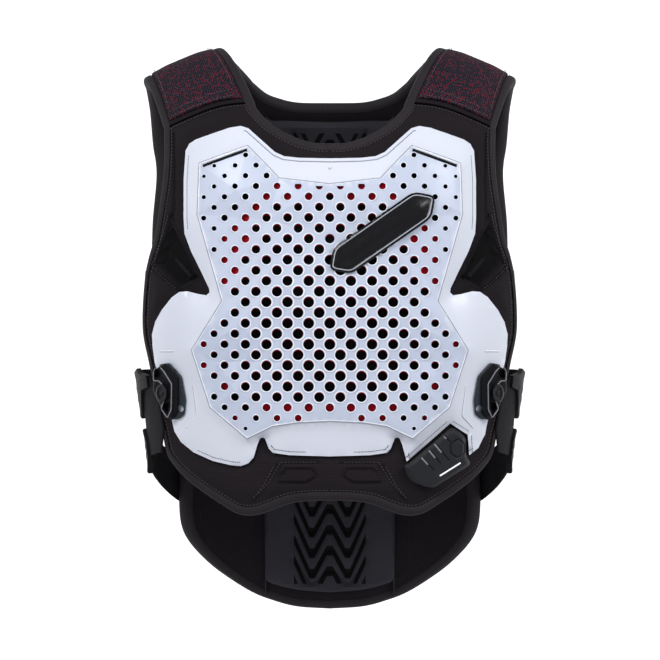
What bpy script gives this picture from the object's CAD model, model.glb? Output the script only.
# %% [markdown]
# # Dressing a motocross vest
# The vest stands as it is worn, with nobody in it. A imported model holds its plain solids. This
# lesson lays the visible pieces over them: padding, bound edges, a drilled chest plate, knitted
# shoulders, webbing and buckles. Every piece is laid on one torso surface, so first that surface
# is rebuilt here from the same sizes, and each later step only has to say how high it stands.
# %% Load the frame
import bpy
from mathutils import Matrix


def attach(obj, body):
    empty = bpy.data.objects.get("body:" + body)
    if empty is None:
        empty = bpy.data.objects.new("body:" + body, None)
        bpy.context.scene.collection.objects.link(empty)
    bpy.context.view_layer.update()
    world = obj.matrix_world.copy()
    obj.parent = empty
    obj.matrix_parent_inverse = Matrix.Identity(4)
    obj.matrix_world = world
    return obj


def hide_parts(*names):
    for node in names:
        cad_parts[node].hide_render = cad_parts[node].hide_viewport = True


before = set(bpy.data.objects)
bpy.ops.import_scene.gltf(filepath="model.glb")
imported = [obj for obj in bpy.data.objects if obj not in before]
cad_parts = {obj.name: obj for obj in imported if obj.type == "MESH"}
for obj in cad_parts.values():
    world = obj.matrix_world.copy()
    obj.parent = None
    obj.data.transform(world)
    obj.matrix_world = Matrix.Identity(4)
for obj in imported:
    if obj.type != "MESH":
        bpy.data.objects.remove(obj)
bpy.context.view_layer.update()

import math

import bmesh
import bpy
import numpy as np
from mathutils import Vector
from mathutils.bvhtree import BVHTree
from mathutils.geometry import delaunay_2d_cdt

scene = bpy.context.scene
print("solids in the frame:", len(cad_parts))

# %% [markdown]
# ## The torso surface
# A chest is wider than it is deep, its sides are rounded, and it closes over the shoulders. A
# superellipse gives each level's outline, a short table scales it from the shoulders down, and
# a quarter ellipse bends the front and the back over to the shoulder line. Arrays go through
# these functions in one call, because fine meshes ask for tens of thousands of points.
# %% Sizes of the torso
HALF_WIDTH, LENGTH = 0.1915, 0.556
FRONT_REACH, BACK_REACH = 0.128, 0.122
FRONT_ARCH, BACK_ARCH = 0.190, 0.150
ROUNDNESS = 2.6
SHOULDER_TOP, NECK_HALF, SHOULDER_FALL, NECK_BLEND = 0.0115, 0.105, 0.44, 0.020
FRONT_SEAM, BACK_SEAM = math.radians(48), math.radians(38)
SECTIONS = np.array((
    (0.000, 1.044, 1.000, 1.000),
    (0.180, 1.008, 1.000, 1.000),
    (0.360, 0.992, 1.000, 1.000),
    (0.475, 0.993, 1.000, 0.970),
    (0.594, 0.955, 0.985, 0.930),
    (0.720, 0.905, 0.955, 0.900),
    (0.810, 0.895, 0.930, 0.910),
    (1.000, 0.867, 0.900, 0.950),
))
WIDTH, FRONT, BACK = 1, 2, 3
NUDGE = 0.0004
SIDES = ((1, "left"), (-1, "right"))


def smooth_values(xs, ys, x):
    """Smooth curve through a table's points, read at every x."""
    slopes = np.gradient(ys, xs)
    x = np.clip(x, xs[0], xs[-1])
    i = np.clip(np.searchsorted(xs, x) - 1, 0, len(xs) - 2)
    run = xs[i + 1] - xs[i]
    t = (x - xs[i]) / run
    start = (2 * t**3 - 3 * t**2 + 1) * ys[i] + (t**3 - 2 * t**2 + t) * run * slopes[i]
    end = (3 * t**2 - 2 * t**3) * ys[i + 1] + (t**3 - t**2) * run * slopes[i + 1]
    return start + end


def section(z, column):
    """Share of a full size at height z."""
    return smooth_values(SECTIONS[:, 0], SECTIONS[:, column], -np.asarray(z, float) / LENGTH)


def crest_height(x):
    """Height of the shoulder line."""
    past = np.abs(x) - NECK_HALF
    return SHOULDER_TOP - SHOULDER_FALL * 0.5 * (past + np.hypot(past, NECK_BLEND))


def depth(x, z, front):
    """Y of the torso's front or back."""
    reach, arch, column = (-FRONT_REACH, FRONT_ARCH, FRONT) if front else (BACK_REACH, BACK_ARCH, BACK)
    r = np.minimum(np.abs(x) / (HALF_WIDTH * section(z, WIDTH)), 0.9999)
    q = np.clip((crest_height(x) - z) / arch, 0, 1)
    return reach * section(z, column) * (1 - r**ROUNDNESS) ** (1 / ROUNDNESS) * np.sqrt(1 - (1 - q) ** 2)


def lay(flat, front=True):
    """Points and outward normals on the front or the back for front-view points (x, z)."""
    x, z = np.asarray(flat, float).T
    y = depth(x, z, front)
    slope_x = (depth(x + NUDGE, z, front) - depth(x - NUDGE, z, front)) / (2 * NUDGE)
    slope_z = (depth(x, z + NUDGE, front) - depth(x, z - NUDGE, front)) / (2 * NUDGE)
    normals = np.stack([-slope_x, np.ones(len(x)), -slope_z], 1) * (-1 if front else 1)
    return np.stack([x, y, z], 1), unit(normals)


def shoulder_points(x, turn):
    """Points on the shoulder by their turn from the crest, to the front (-) or the back (+)."""
    x, turn = np.broadcast_arrays(np.asarray(x, float), np.asarray(turn, float))
    z = crest_height(x) - np.where(turn < 0, FRONT_ARCH, BACK_ARCH) * (1 - np.cos(turn))
    y = np.where(turn < 0, depth(x, z, True), depth(x, z, False))
    return np.stack([x, y, z], -1)


def unit(v):
    """Vectors of length one."""
    return v / np.maximum(np.linalg.norm(v, axis=-1, keepdims=True), 1e-12)


def lay_shoulder(x, turn):
    """Points and outward normals on the shoulder."""
    across = shoulder_points(x + NUDGE, turn) - shoulder_points(x - NUDGE, turn)
    along = shoulder_points(x, turn + 0.01) - shoulder_points(x, turn - 0.01)
    return shoulder_points(x, turn), unit(np.cross(across, along))


def ring_points(turn, z, side):
    """Points round the side of the torso: turn 0 at the side, positive to the front, in degrees."""
    turn, z = np.broadcast_arrays(np.asarray(turn, float), np.asarray(z, float))
    a = np.radians(turn)
    reach = np.where(turn > 0, -FRONT_REACH * section(z, FRONT), BACK_REACH * section(z, BACK))
    x = side * HALF_WIDTH * section(z, WIDTH) * np.cos(a) ** (2 / ROUNDNESS)
    return np.stack([x, reach * np.abs(np.sin(a)) ** (2 / ROUNDNESS), z], -1)


def lay_ring(turn, z, side):
    """Points and outward normals round the side of the torso."""
    around = ring_points(turn + 1.5, z, side) - ring_points(turn - 1.5, z, side)
    down = ring_points(turn, z - NUDGE, side) - ring_points(turn, z + NUDGE, side)
    return ring_points(turn, z, side), unit(np.cross(around, down) * side)


def straight_out(normals):
    """Steps along Y that each gain one unit of height."""
    way = np.zeros_like(normals)
    way[:, 1] = 1 / normals[:, 1]
    return way


print("chest depth at the waist:", round(float(depth(0.0, -0.3, False) - depth(0.0, -0.3, True)), 4), "m")

# %% [markdown]
# ## Outlines as a pattern cutter draws them
# Each flat piece starts as an outline in front view. It is given in shares of the half width and
# of the length, so the paper pattern stays legible. A smooth curve is drawn through the points,
# and helpers measure how far a spot lies from an edge: that distance drives rolled edges, seams
# and bevels later on.
# %% Outline helpers
def sized(shares, side=1):
    """Shares of the half width and of the length as front-view points in metres."""
    return [(side * across * HALF_WIDTH, -down * LENGTH) for across, down in shares]


def on_side(line, side):
    """A front-view line as it is, or mirrored where side is -1."""
    return [(side * x, z) for x, z in line]


def mirrored(half):
    """A closed outline from its +X half."""
    return half + on_side(half[-2:0:-1], -1)


def both_sides(half, other=None):
    """A closed outline from the +X half, and its mirror or another -X half."""
    return sized(half, 1) + sized(half if other is None else other, -1)[-2:0:-1]


def curve_through(points, step):
    """Points at an even step along a smooth curve through the given ones."""
    pts = [np.array(p, float) for p in points]
    ends = [2 * pts[0] - pts[1]] + pts + [2 * pts[-1] - pts[-2]]
    fine = []
    for a, b, c, d in zip(ends, ends[1:], ends[2:], ends[3:]):
        for t in np.linspace(0, 1, 12, endpoint=False):
            fine.append(0.5 * (2 * b + (c - a) * t + (2 * a - 5 * b + 4 * c - d) * t * t
                               + (3 * b - a - 3 * c + d) * t**3))
    fine.append(pts[-1])
    return even_steps(fine, step)


def run_along(points):
    """Distance run along a polyline up to each of its points."""
    return np.concatenate([[0], np.cumsum(np.linalg.norm(np.diff(points, axis=0), axis=1))])


def circle(count):
    """Even turns round a circle."""
    return np.arange(count) * 2 * math.pi / count


def even_steps(points, step):
    """A polyline resampled at an even step."""
    fine = np.asarray(points, float)
    runs = run_along(fine)
    places = np.linspace(0, runs[-1], max(2, round(runs[-1] / step) + 1))
    return list(map(tuple, np.stack([np.interp(places, runs, column) for column in fine.T], 1)))


def edge_distance(points, loops, closed=True):
    """Distance of each point from the nearest edge of the outlines or lines."""
    points = np.asarray(points, float)
    nearest = np.full(len(points), 1e9)
    for loop in loops:
        ring = np.asarray(loop, float)
        starts, ends = (ring, np.roll(ring, -1, axis=0)) if closed else (ring[:-1], ring[1:])
        for a, b in zip(starts, ends):
            run = b - a
            t = np.clip(((points - a) @ run) / max(run @ run, 1e-12), 0, 1)
            nearest = np.minimum(nearest, np.linalg.norm(points - (a + t[:, None] * run), axis=1))
    return nearest


def is_inside(points, loop):
    """Whether each point lies inside a closed outline."""
    points = np.asarray(points, float)
    inside = np.zeros(len(points), bool)
    ring = np.asarray(loop, float)
    for (ax, ay), (bx, by) in zip(ring, np.roll(ring, -1, axis=0)):
        if ay == by:
            continue
        crosses = (ay > points[:, 1]) != (by > points[:, 1])
        inside ^= crosses & (points[:, 0] < ax + (points[:, 1] - ay) * (bx - ax) / (by - ay))
    return inside


def inset(loop, distance):
    """A closed outline moved inward by a distance."""
    ring = np.asarray(loop, float)
    area = np.sum(ring[:, 0] * np.roll(ring[:, 1], -1) - np.roll(ring[:, 0], -1) * ring[:, 1])
    one = unit(ring - np.roll(ring, 1, axis=0))
    two = unit(np.roll(ring, -1, axis=0) - ring)
    sign = math.copysign(1, area)
    inward = unit(np.stack([-(one + two)[:, 1], (one + two)[:, 0]], 1) * sign)
    lean = np.maximum(0.35, np.sum(inward * np.stack([-one[:, 1], one[:, 0]], 1), 1) * sign)
    return [tuple(p) for p in ring + inward * distance / lean[:, None]]


def rounded(loop, radius, count=6):
    """A closed outline whose corners are rounded."""
    ring = np.asarray(loop, float)
    soft = []
    for before, point, after in zip(np.roll(ring, 1, axis=0), ring, np.roll(ring, -1, axis=0)):
        run = min(radius, 0.45 * np.linalg.norm(point - before), 0.45 * np.linalg.norm(after - point))
        a, b = point + unit(before - point) * run, point + unit(after - point) * run
        for t in np.linspace(0, 1, count):
            soft.append(tuple((1 - t) ** 2 * a + 2 * t * (1 - t) * point + t * t * b))
    return soft


def divided(loop, step):
    """A closed outline whose long edges are cut into even runs."""
    fine = []
    for (ax, az), (bx, bz) in zip(loop, loop[1:] + loop[:1]):
        runs = max(1, math.ceil(math.hypot(bx - ax, bz - az) / step - 0.25))
        fine += [(ax + (bx - ax) * i / runs, az + (bz - az) * i / runs) for i in range(runs)]
    return fine


# %% Turn points and faces into a piece
def make_mesh(name, vertices, faces, paint, uv=None, smooth=35):
    """A closed piece facing out, with its material and, where uv is given, a map in metres."""
    mesh = bpy.data.meshes.new(name)
    mesh.from_pydata([tuple(map(float, v)) for v in vertices], [], [tuple(map(int, f)) for f in faces])
    if uv is not None:
        layer = mesh.uv_layers.new(name="flat")
        corners = np.zeros(len(mesh.loops), int)
        mesh.loops.foreach_get("vertex_index", corners)
        layer.data.foreach_set("uv", np.asarray(uv, float)[corners].ravel())
    bm = bmesh.new()
    bm.from_mesh(mesh)
    bmesh.ops.recalc_face_normals(bm, faces=bm.faces)
    bm.to_mesh(mesh)
    bm.free()
    mesh.shade_smooth()
    mesh.set_sharp_from_angle(angle=math.radians(smooth))
    mesh.materials.append(paint)
    piece = bpy.data.objects.new(name, mesh)
    scene.collection.objects.link(piece)
    return piece


def finished(piece, slot, *nodes):
    """Puts a piece on the body and in its slot, and in the place of the solids it stands for."""
    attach(piece, "root")
    if nodes:
        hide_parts(*nodes)
    print(f"{piece.name}: {len(piece.data.polygons)} faces")
    return piece


def fill_points(outline, cell):
    """Evenly spread points inside an outline, in rows that stand between each other."""
    ring = np.asarray(outline, float)
    low, high = ring.min(axis=0), ring.max(axis=0)
    row_step = cell * math.sqrt(3) / 2
    spots = [(low[0] + (i + 0.5 * (j % 2)) * cell, high[1] - j * row_step)
             for j in range(math.ceil((high[1] - low[1]) / row_step) + 1)
             for i in range(math.ceil((high[0] - low[0]) / cell) + 1)]
    spots = np.array(spots)
    return spots[is_inside(spots, outline)]


def heights(rule, flat):
    """A rule's height at each point. A plain number is one height for all."""
    return np.broadcast_to(rule(flat) if callable(rule) else rule, (len(flat),))[:, None]


def hole_rim(x, z, radius, sides, top):
    """The rim of a round hole, cut straight across at the height top."""
    rim = [(x + radius * math.cos(t), z + radius * math.sin(t)) for t in circle(sides)]
    if top < z + radius:
        half = math.sqrt(max(radius**2 - (top - z) ** 2, 0.0))
        below = [p for p in rim if p[1] < top - 0.0001]
        rim = sorted(below, key=lambda p: math.atan2(p[1] - top + 1e-4, p[0] - x)) + [(x + half, top), (x - half, top)]
    return rim


def wall(name, outline, outer, inner, paint, cell, front=True, holes=(), creases=(), lines=(),
         straight=False, smooth=35, marks=None, folds=()):
    """A closed wall cut to an outline in front view and laid on the torso.

    outer and inner give the heights of its faces from front-view points. Holes are (x, z,
    radius, sides, top). Creases are closed lines and lines are open ones that the mesh follows,
    and folds are open lines that stay sharp. Marks are attributes, each with its rule.
    """
    outline, rims = divided(outline, cell), [hole_rim(*hole) for hole in holes]
    creases = [divided(list(loop), cell) for loop in creases]
    lines = [even_steps(line, cell) for line in list(lines) + list(folds)]
    points, edges = [], []
    for group, closed in (([outline] + rims + creases, True), (lines, False)):
        for line in group:
            first, count = len(points), len(line)
            edges += [(first + i, first + (i + 1) % count) for i in range(count if closed else count - 1)]
            points += line
    spots = fill_points(outline, cell)
    clear = edge_distance(spots, [outline] + creases) > 0.45 * cell
    clear &= edge_distance(spots, lines, closed=False) > 0.45 * cell
    for x, z, radius, _, _ in holes:
        clear &= np.hypot(spots[:, 0] - x, spots[:, 1] - z) > radius + 0.4 * cell
    points += [tuple(p) for p in spots[clear]]
    flat, _, triangles, _, _, _ = delaunay_2d_cdt([Vector(p) for p in points], edges, [], 0, 1e-6)
    flat, triangles = np.array([tuple(p) for p in flat]), np.array(triangles)
    a, b, c = (flat[triangles[:, k]] for k in range(3))
    area = 0.5 * np.abs((b - a)[:, 0] * (c - a)[:, 1] - (b - a)[:, 1] * (c - a)[:, 0])
    centres = (a + b + c) / 3
    keep = is_inside(centres, outline) & (area > 1e-10)
    for (x, z, radius, _, _), rim in zip(holes, rims):
        near = np.hypot(centres[:, 0] - x, centres[:, 1] - z) < radius * 1.02
        keep[near] &= ~is_inside(centres[near], rim)
    used, triangles = np.unique(triangles[keep], return_inverse=True)
    flat, triangles = flat[used], triangles.reshape(-1, 3)
    base, normals = lay(flat, front)
    way = straight_out(normals) if straight else normals
    shell = np.concatenate([base + way * heights(outer, flat), base + way * heights(inner, flat)])
    count = len(flat)
    sides = {(u, v) for t in triangles for u, v in ((t[0], t[1]), (t[1], t[2]), (t[2], t[0]))}
    faces = [tuple(t) for t in triangles] + [(w + count, v + count, u + count) for u, v, w in triangles]
    faces += [(v, u, u + count, v + count) for u, v in sides if (v, u) not in sides]
    piece = make_mesh(name, shell, faces, paint, np.concatenate([flat, flat]), smooth)
    if folds:
        ends = np.array([e.vertices[:] for e in piece.data.edges])
        middles = (flat[ends[:, 0] % count] + flat[ends[:, 1] % count]) / 2
        on_fold = (edge_distance(middles, list(folds), closed=False) < 2e-5) & (ends < count).all(axis=1)
        sharp = np.array([e.use_edge_sharp for e in piece.data.edges]) | on_fold
        piece.data.edges.foreach_set("use_edge_sharp", sharp)
    for label, rule in (marks or {}).items():
        values = np.tile(rule(flat), 2)
        piece.data.attributes.new(label, "FLOAT", "POINT").data.foreach_set("value", values)
    return piece


def loft(name, rows, paint, closed=False, uv=None, smooth=50):
    """A closed body through rows of points, capped at its ends unless it is a ring."""
    rows = np.asarray(rows, float)
    count, across = rows.shape[:2]
    faces = []
    for j in range(count if closed else count - 1):
        a, b = j * across, ((j + 1) % count) * across
        faces += [(a + i, a + (i + 1) % across, b + (i + 1) % across, b + i) for i in range(across)]
    if not closed:
        faces += [tuple(range(across)), tuple(range(count * across - across, count * across))[::-1]]
    uv = None if uv is None else np.asarray(uv, float).reshape(-1, 2)
    return make_mesh(name, rows.reshape(-1, 3), faces, paint, uv, smooth)


def ease(value, low, high):
    """A smooth rise from 0 at low to 1 at high."""
    t = np.clip((np.asarray(value, float) - low) / (high - low), 0, 1)
    return t * t * (3 - 2 * t)


def rolled(gap, radius, drop):
    """How far a rolled edge falls at a distance from it."""
    return -drop * (1 - np.sqrt(1 - (1 - np.clip(gap / radius, 0, 1)) ** 2))


print("outline helpers are ready")

# %% [markdown]
# ## Stitches, rims and rows with Geometry Nodes
# Thread, hole lips and the dashes on the plate's rim repeat one small shape. A node tree puts it
# on every point of a guide mesh, turned along the seam and scaled by the point's own size, and
# makes the copies real. One tree serves each shape. The guide's points carry their directions.
# %% A tree that repeats a small shape on guide points
def add_node(tree, kind, settings=None, **inputs):
    """One node with its settings and then its inputs, as values or links."""
    node = tree.nodes.new(kind)
    for key, value in (settings or {}).items():
        setattr(node, key, value)
    for key, value in inputs.items():
        by_number = key[0] == "i" and key[1:].isdigit()
        socket = node.inputs[int(key[1:]) if by_number else key.replace("_", " ")]
        value = getattr(value, "socket", value)
        if isinstance(value, bpy.types.NodeSocket):
            tree.links.new(value, socket)
        else:
            socket.default_value = value
    return node


def named(tree, name, kind):
    """A stored value of the guide's points."""
    return add_node(tree, "GeometryNodeInputNamedAttribute", {"data_type": kind}, Name=name).outputs[0]


def repeat_tree(name, shape):
    """A tree that puts a small shape on each point: a bead of thread or a ring."""
    tree = bpy.data.node_groups.new(name, "GeometryNodeTree")
    face = tree.interface
    face.new_socket("Geometry", in_out="INPUT", socket_type="NodeSocketGeometry")
    for label, value in (("Length", 0.003), ("Width", 0.001), ("Height", 0.0006)):
        face.new_socket(label, in_out="INPUT", socket_type="NodeSocketFloat").default_value = value
    face.new_socket("Material", in_out="INPUT", socket_type="NodeSocketMaterial")
    face.new_socket("Geometry", in_out="OUTPUT", socket_type="NodeSocketGeometry")
    given, result = tree.nodes.new("NodeGroupInput"), tree.nodes.new("NodeGroupOutput")
    length, width, height = (given.outputs[k] for k in ("Length", "Width", "Height"))

    def made(kind, settings=None, **inputs):
        return add_node(tree, kind, settings, **inputs).outputs[0]

    if shape == "bead":
        body = made("GeometryNodeMeshUVSphere", Segments=8, Rings=5, Radius=0.5)
        size = made("ShaderNodeCombineXYZ", X=length, Y=width, Z=height)
    else:
        ring = made("GeometryNodeCurvePrimitiveCircle", Resolution=20, Radius=1.0)
        round_wire = made("GeometryNodeCurvePrimitiveCircle", Resolution=5, Radius=width)
        body = made("GeometryNodeCurveToMesh", i0=ring, Profile_Curve=round_wire)
        size = made("ShaderNodeCombineXYZ", X=length, Y=length, Z=length)
    along = made("FunctionNodeAlignRotationToVector", {"axis": "X"}, Vector=named(tree, "way", "FLOAT_VECTOR"))
    upright = made("FunctionNodeAlignRotationToVector", {"axis": "Z", "pivot_axis": "X"},
                   Rotation=along, Vector=named(tree, "up", "FLOAT_VECTOR"))
    spot = made("GeometryNodeMeshToPoints", Mesh=given.outputs["Geometry"], Radius=0.001)
    sized_by = made("ShaderNodeVectorMath", {"operation": "SCALE"}, i0=size, Scale=named(tree, "size", "FLOAT"))
    copies = made("GeometryNodeInstanceOnPoints", Points=spot, Instance=body, Rotation=upright, Scale=sized_by)
    smooth = made("GeometryNodeSetShadeSmooth", i0=made("GeometryNodeRealizeInstances", Geometry=copies))
    painted = made("GeometryNodeSetMaterial", Geometry=smooth, Material=given.outputs["Material"])
    tree.links.new(painted, result.inputs[0])
    return tree


TREES = {shape: repeat_tree("repeat a " + shape, shape) for shape in ("bead", "ring")}


def repeated(name, shape, points, ways, ups, sizes, length, width, height, paint):
    """Copies of a shape on guide points, as one plain mesh."""
    guide = bpy.data.meshes.new(name)
    guide.from_pydata([tuple(map(float, p)) for p in points], [], [])
    for label, values in (("way", ways), ("up", ups)):
        guide.attributes.new(label, "FLOAT_VECTOR", "POINT").data.foreach_set("vector", np.ravel(values).astype(float))
    sizes = np.broadcast_to(np.asarray(sizes, float), (len(points),)).copy()
    guide.attributes.new("size", "FLOAT", "POINT").data.foreach_set("value", sizes)
    holder = bpy.data.objects.new(name + "_guide", guide)
    scene.collection.objects.link(holder)
    layer = holder.modifiers.new("repeat", "NODES")
    layer.node_group = TREES[shape]
    values = {"Length": length, "Width": width, "Height": height, "Material": paint}
    for item in TREES[shape].interface.items_tree:
        if item.in_out == "INPUT" and item.name in values:
            layer[item.identifier] = values[item.name]
    bpy.context.view_layer.update()
    seen = holder.evaluated_get(bpy.context.evaluated_depsgraph_get())
    mesh = bpy.data.meshes.new_from_object(seen)
    bpy.data.objects.remove(holder)
    piece = bpy.data.objects.new(name, mesh)
    scene.collection.objects.link(piece)
    return piece


print("node trees:", ", ".join(tree.name for tree in TREES.values()))

# %% [markdown]
# ## Writing shaders as sums
# A finish is a small calculation: where a thread lies, how dark a seam looks, how rough an
# edge is. Written as Python sums, such a calculation can be read. One class wraps a node's output,
# and adding or multiplying two of them adds the Math node for it.
# %% A value in a material that can be calculated with
class Value:
    """The output of a shader node, with the usual operators."""

    def __init__(self, tree, socket):
        self.tree, self.socket = tree, socket

    def joined(self, operation, *items):
        """A Math node on values or numbers, in their order."""
        inputs = {f"i{k}": item for k, item in enumerate(items)}
        return Value(self.tree, add_node(self.tree, "ShaderNodeMath", {"operation": operation}, **inputs).outputs[0])

    def math(self, operation, *others):
        """A Math node on this value and others."""
        return self.joined(operation, self, *others)

    def __add__(self, other):
        return self.joined("ADD", self, other)

    def __radd__(self, other):
        return self.joined("ADD", other, self)

    def __sub__(self, other):
        return self.joined("SUBTRACT", self, other)

    def __rsub__(self, other):
        return self.joined("SUBTRACT", other, self)

    def __mul__(self, other):
        return self.joined("MULTIPLY", self, other)

    def __rmul__(self, other):
        return self.joined("MULTIPLY", other, self)

    def __truediv__(self, other):
        return self.joined("DIVIDE", self, other)

    def __rtruediv__(self, other):
        return self.joined("DIVIDE", other, self)

    def step(self, low, high):
        """A smooth rise from 0 at low to 1 at high."""
        node = add_node(self.tree, "ShaderNodeMapRange", {"interpolation_type": "SMOOTHSTEP"},
                        Value=self, From_Min=low, From_Max=high)
        return Value(self.tree, node.outputs["Result"])


class Finish:
    """A material with its surface shader, and one method that adds any node."""

    def __init__(self, name, **constants):
        self.paint = bpy.data.materials.new(name)
        self.paint.use_nodes = True
        self.tree = self.paint.node_tree
        self.shader = self.tree.nodes["Principled BSDF"]
        for key, value in constants.items():
            self.shader.inputs[key.replace("_", " ")].default_value = value

    def node(self, kind, settings=None, out=0, **inputs):
        """Any node, by its type, its settings and the values or links of its sockets."""
        return Value(self.tree, add_node(self.tree, kind, settings, **inputs).outputs[out])

    def place(self):
        """Object coordinates in metres."""
        return self.node("ShaderNodeTexCoord", out=3)

    def flat(self):
        """Across and along the flat pattern, in metres."""
        split = self.node("ShaderNodeSeparateXYZ", Vector=self.node("ShaderNodeUVMap", {"uv_map": "flat"}))
        return split, Value(self.tree, split.socket.node.outputs[1])

    def noise(self, scale, detail=3.0, where=None):
        """Even noise from 0 to 1."""
        return self.node("ShaderNodeTexNoise", Vector=where or self.place(), Scale=scale, Detail=detail)

    def mix(self, amount, one, two):
        """A colour between two colours."""
        inputs = {"Factor": amount, "i6": one, "i7": two}
        return self.node("ShaderNodeMix", {"data_type": "RGBA"}, out=2, **inputs)

    def feed(self, **links):
        """Links values to the shader's own sockets."""
        for key, value in links.items():
            self.tree.links.new(value.socket, self.shader.inputs[key.replace("_", " ")])
        return self.paint

    def relief(self, height, distance, strength=1.0):
        """A bump from a height."""
        return self.node("ShaderNodeBump", Height=height, Distance=distance, Strength=strength)


def rgb(red, green, blue):
    """A colour given as it looks on screen, from 0 to 255."""
    linear = [(c / 255 / 12.92) if c <= 10 else ((c / 255 + 0.055) / 1.055) ** 2.4 for c in (red, green, blue)]
    return (*linear, 1.0)


# %% [markdown]
# ## Finishes of the soft pieces
# The padding is a matt stretch textile with a fine rib, the edges are bound with woven tape, the
# straps are webbing, and the shoulders carry an open knit with a crimson thread that shows in its
# pores. Each weave is drawn on the flat pattern in metres, so it keeps its true scale and runs
# with the cloth, as a woven grain does.
# %% Cloth, tape and webbing
def cloth(name, dark, light, pitch, roughness=0.82, slant=1.0, depth_m=0.00025):
    """A fine woven textile: two crossing threads, a slow change of tone and a little lint."""
    f = Finish(name, Specular_IOR_Level=0.10)
    u, v = f.flat()
    warp = ((u + v * slant) * (2 * math.pi / pitch)).math("SINE")
    weft = ((v - u * slant) * (2 * math.pi / pitch)).math("SINE")
    thread = warp * weft * 0.5 + 0.5
    broad, lint = f.noise(14.0, 2.0), f.noise(900.0, 2.0)
    tone = thread * 0.35 + broad * 0.45 + lint * 0.2
    colour = f.mix(tone, dark, light)
    rough = roughness + (lint - 0.5) * 0.12
    sunk = f.node("ShaderNodeAttribute", {"attribute_name": "sunk"}, out=2)
    ribbed = f.node("ShaderNodeAttribute", {"attribute_name": "ribbed"}, out=2)
    rib = ((v * (2 * math.pi / 0.0023)).math("SINE") * 0.5 + 0.5) * ribbed
    shade = f.mix(rib * 0.45, f.mix(sunk, colour, rgb(7, 7, 8)), light)
    return f.feed(Base_Color=shade, Roughness=rough,
                  Normal=f.relief(thread * 0.8 + lint * 0.4 + rib * 2.2, depth_m, 0.55))


def tape(name, dark, light, pitch, roughness=0.7):
    """Woven tape: ribs across its length, crossed by wider ones along it."""
    f = Finish(name, Specular_IOR_Level=0.12)
    u, v = f.flat()
    rib = (u * (2 * math.pi / pitch)).math("SINE") * 0.5 + 0.5
    cross = (v * (2 * math.pi / (pitch * 1.3))).math("SINE") * 0.5 + 0.5
    lint = f.noise(700.0, 2.0)
    tone = rib * cross * 0.45 + lint * 0.25 + f.noise(18.0) * 0.3
    return f.feed(Base_Color=f.mix(tone, dark, light), Roughness=roughness + (lint - 0.5) * 0.15,
                  Normal=f.relief(rib * 0.7 + cross * 0.3 + lint * 0.2, 0.0003, 0.6))


def strap_webbing(name):
    """Herringbone webbing: fine ribs that turn back and forth across the strap."""
    f = Finish(name, Specular_IOR_Level=0.12)
    u, v = f.flat()
    zigzag = ((v * (1 / 0.006)).math("PINGPONG", 1.0)) * 0.006
    rib = ((u + zigzag) * (2 * math.pi / 0.0018)).math("SINE") * 0.5 + 0.5
    lint = f.noise(800.0, 2.0)
    return f.feed(Base_Color=f.mix(rib * 0.6 + lint * 0.4, rgb(12, 11, 13), rgb(40, 38, 41)),
                  Roughness=0.78 + (lint - 0.5) * 0.1, Normal=f.relief(rib + lint * 0.3, 0.0004, 0.7))


def open_knit(name):
    """The shoulders' knit: slanting rows of pores, with a crimson thread in some of them."""
    f = Finish(name, Specular_IOR_Level=0.12)
    u, v = f.flat()
    pitch = 0.0028
    a, b = (u + v * 0.62) / pitch, (v * 1.1 - u * 0.35) / pitch
    across, down = a.math("FRACT") - 0.5, b.math("FRACT") - 0.5
    away = (across * across + down * down).math("SQRT")
    pore = 1 - away.step(0.20, 0.40)
    cell_a, cell_b = a.math("FLOOR"), b.math("FLOOR")
    cell = f.node("ShaderNodeCombineXYZ", X=cell_a, Y=cell_b)
    chance = f.node("ShaderNodeTexWhiteNoise", {"noise_dimensions": "2D"}, Vector=cell)
    patch = f.noise(42.0, 1.0)
    dot = 1 - away.step(0.10, 0.24)
    red = (chance * 0.85 + patch * 0.6).step(0.77, 0.83) * dot
    thread = (a * (2 * math.pi)).math("SINE") * 0.5 + 0.5
    base = f.mix(thread * 0.6 + f.noise(900.0) * 0.4, rgb(17, 15, 19), rgb(54, 46, 60))
    dark = f.mix(pore * 0.85, base, rgb(9, 8, 10))
    return f.feed(Base_Color=f.mix(red, dark, rgb(176, 10, 44)), Roughness=0.8 - red * 0.2,
                  Normal=f.relief(1 - pore * 0.9 + thread * 0.25, 0.0006, 0.8))


def chevron_foam(name):
    """Grey moulded foam with rows of dark chevrons, drawn in millimetres from the flat coordinates."""
    f = Finish(name, Specular_IOR_Level=0.15)
    u, v = f.flat()
    aside, down = u.math("ABSOLUTE") * 1000, v * 1000
    zigzag = (aside - 3).math("MAXIMUM", 0).math("MINIMUM", 13) * -1.81 + (aside - 21).math("MAXIMUM", 0) * 2.17
    row = (down - zigzag - CHEVRON_LAST) / CHEVRON_PITCH + 0.5
    away = (row.math("FRACT") - 0.5).math("ABSOLUTE") * CHEVRON_PITCH
    inside = (1 - aside.step(37.2, 37.8)) * (down + 526.5).step(0, 0.8) * (-1 * down - 62).step(0, 0.8)
    mark = (1 - away.step(4.4, 5.4)) * inside
    grain, cloud = f.noise(1300.0, 2.0), f.noise(26.0, 2.0)
    colour = f.mix(grain * 0.45 + cloud * 0.55, rgb(36, 36, 41), rgb(62, 61, 68))
    return f.feed(Base_Color=f.mix(mark, colour, rgb(8, 8, 9)), Roughness=0.86 + grain * 0.08,
                  Normal=f.relief(grain * 0.2 - mark, 0.0012, 0.6))


CHEVRON_LAST, CHEVRON_PITCH = -513.4, 20.9
TEXTILE = cloth("padded_textile", rgb(16, 13, 15), rgb(41, 36, 40), 0.0011)
SPINE = chevron_foam("spine_foam")
BINDING = tape("binding_tape", rgb(24, 21, 24), rgb(60, 55, 59), 0.0013)
WEBBING = strap_webbing("strap_webbing")
KNIT = open_knit("shoulder_knit")


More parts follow.
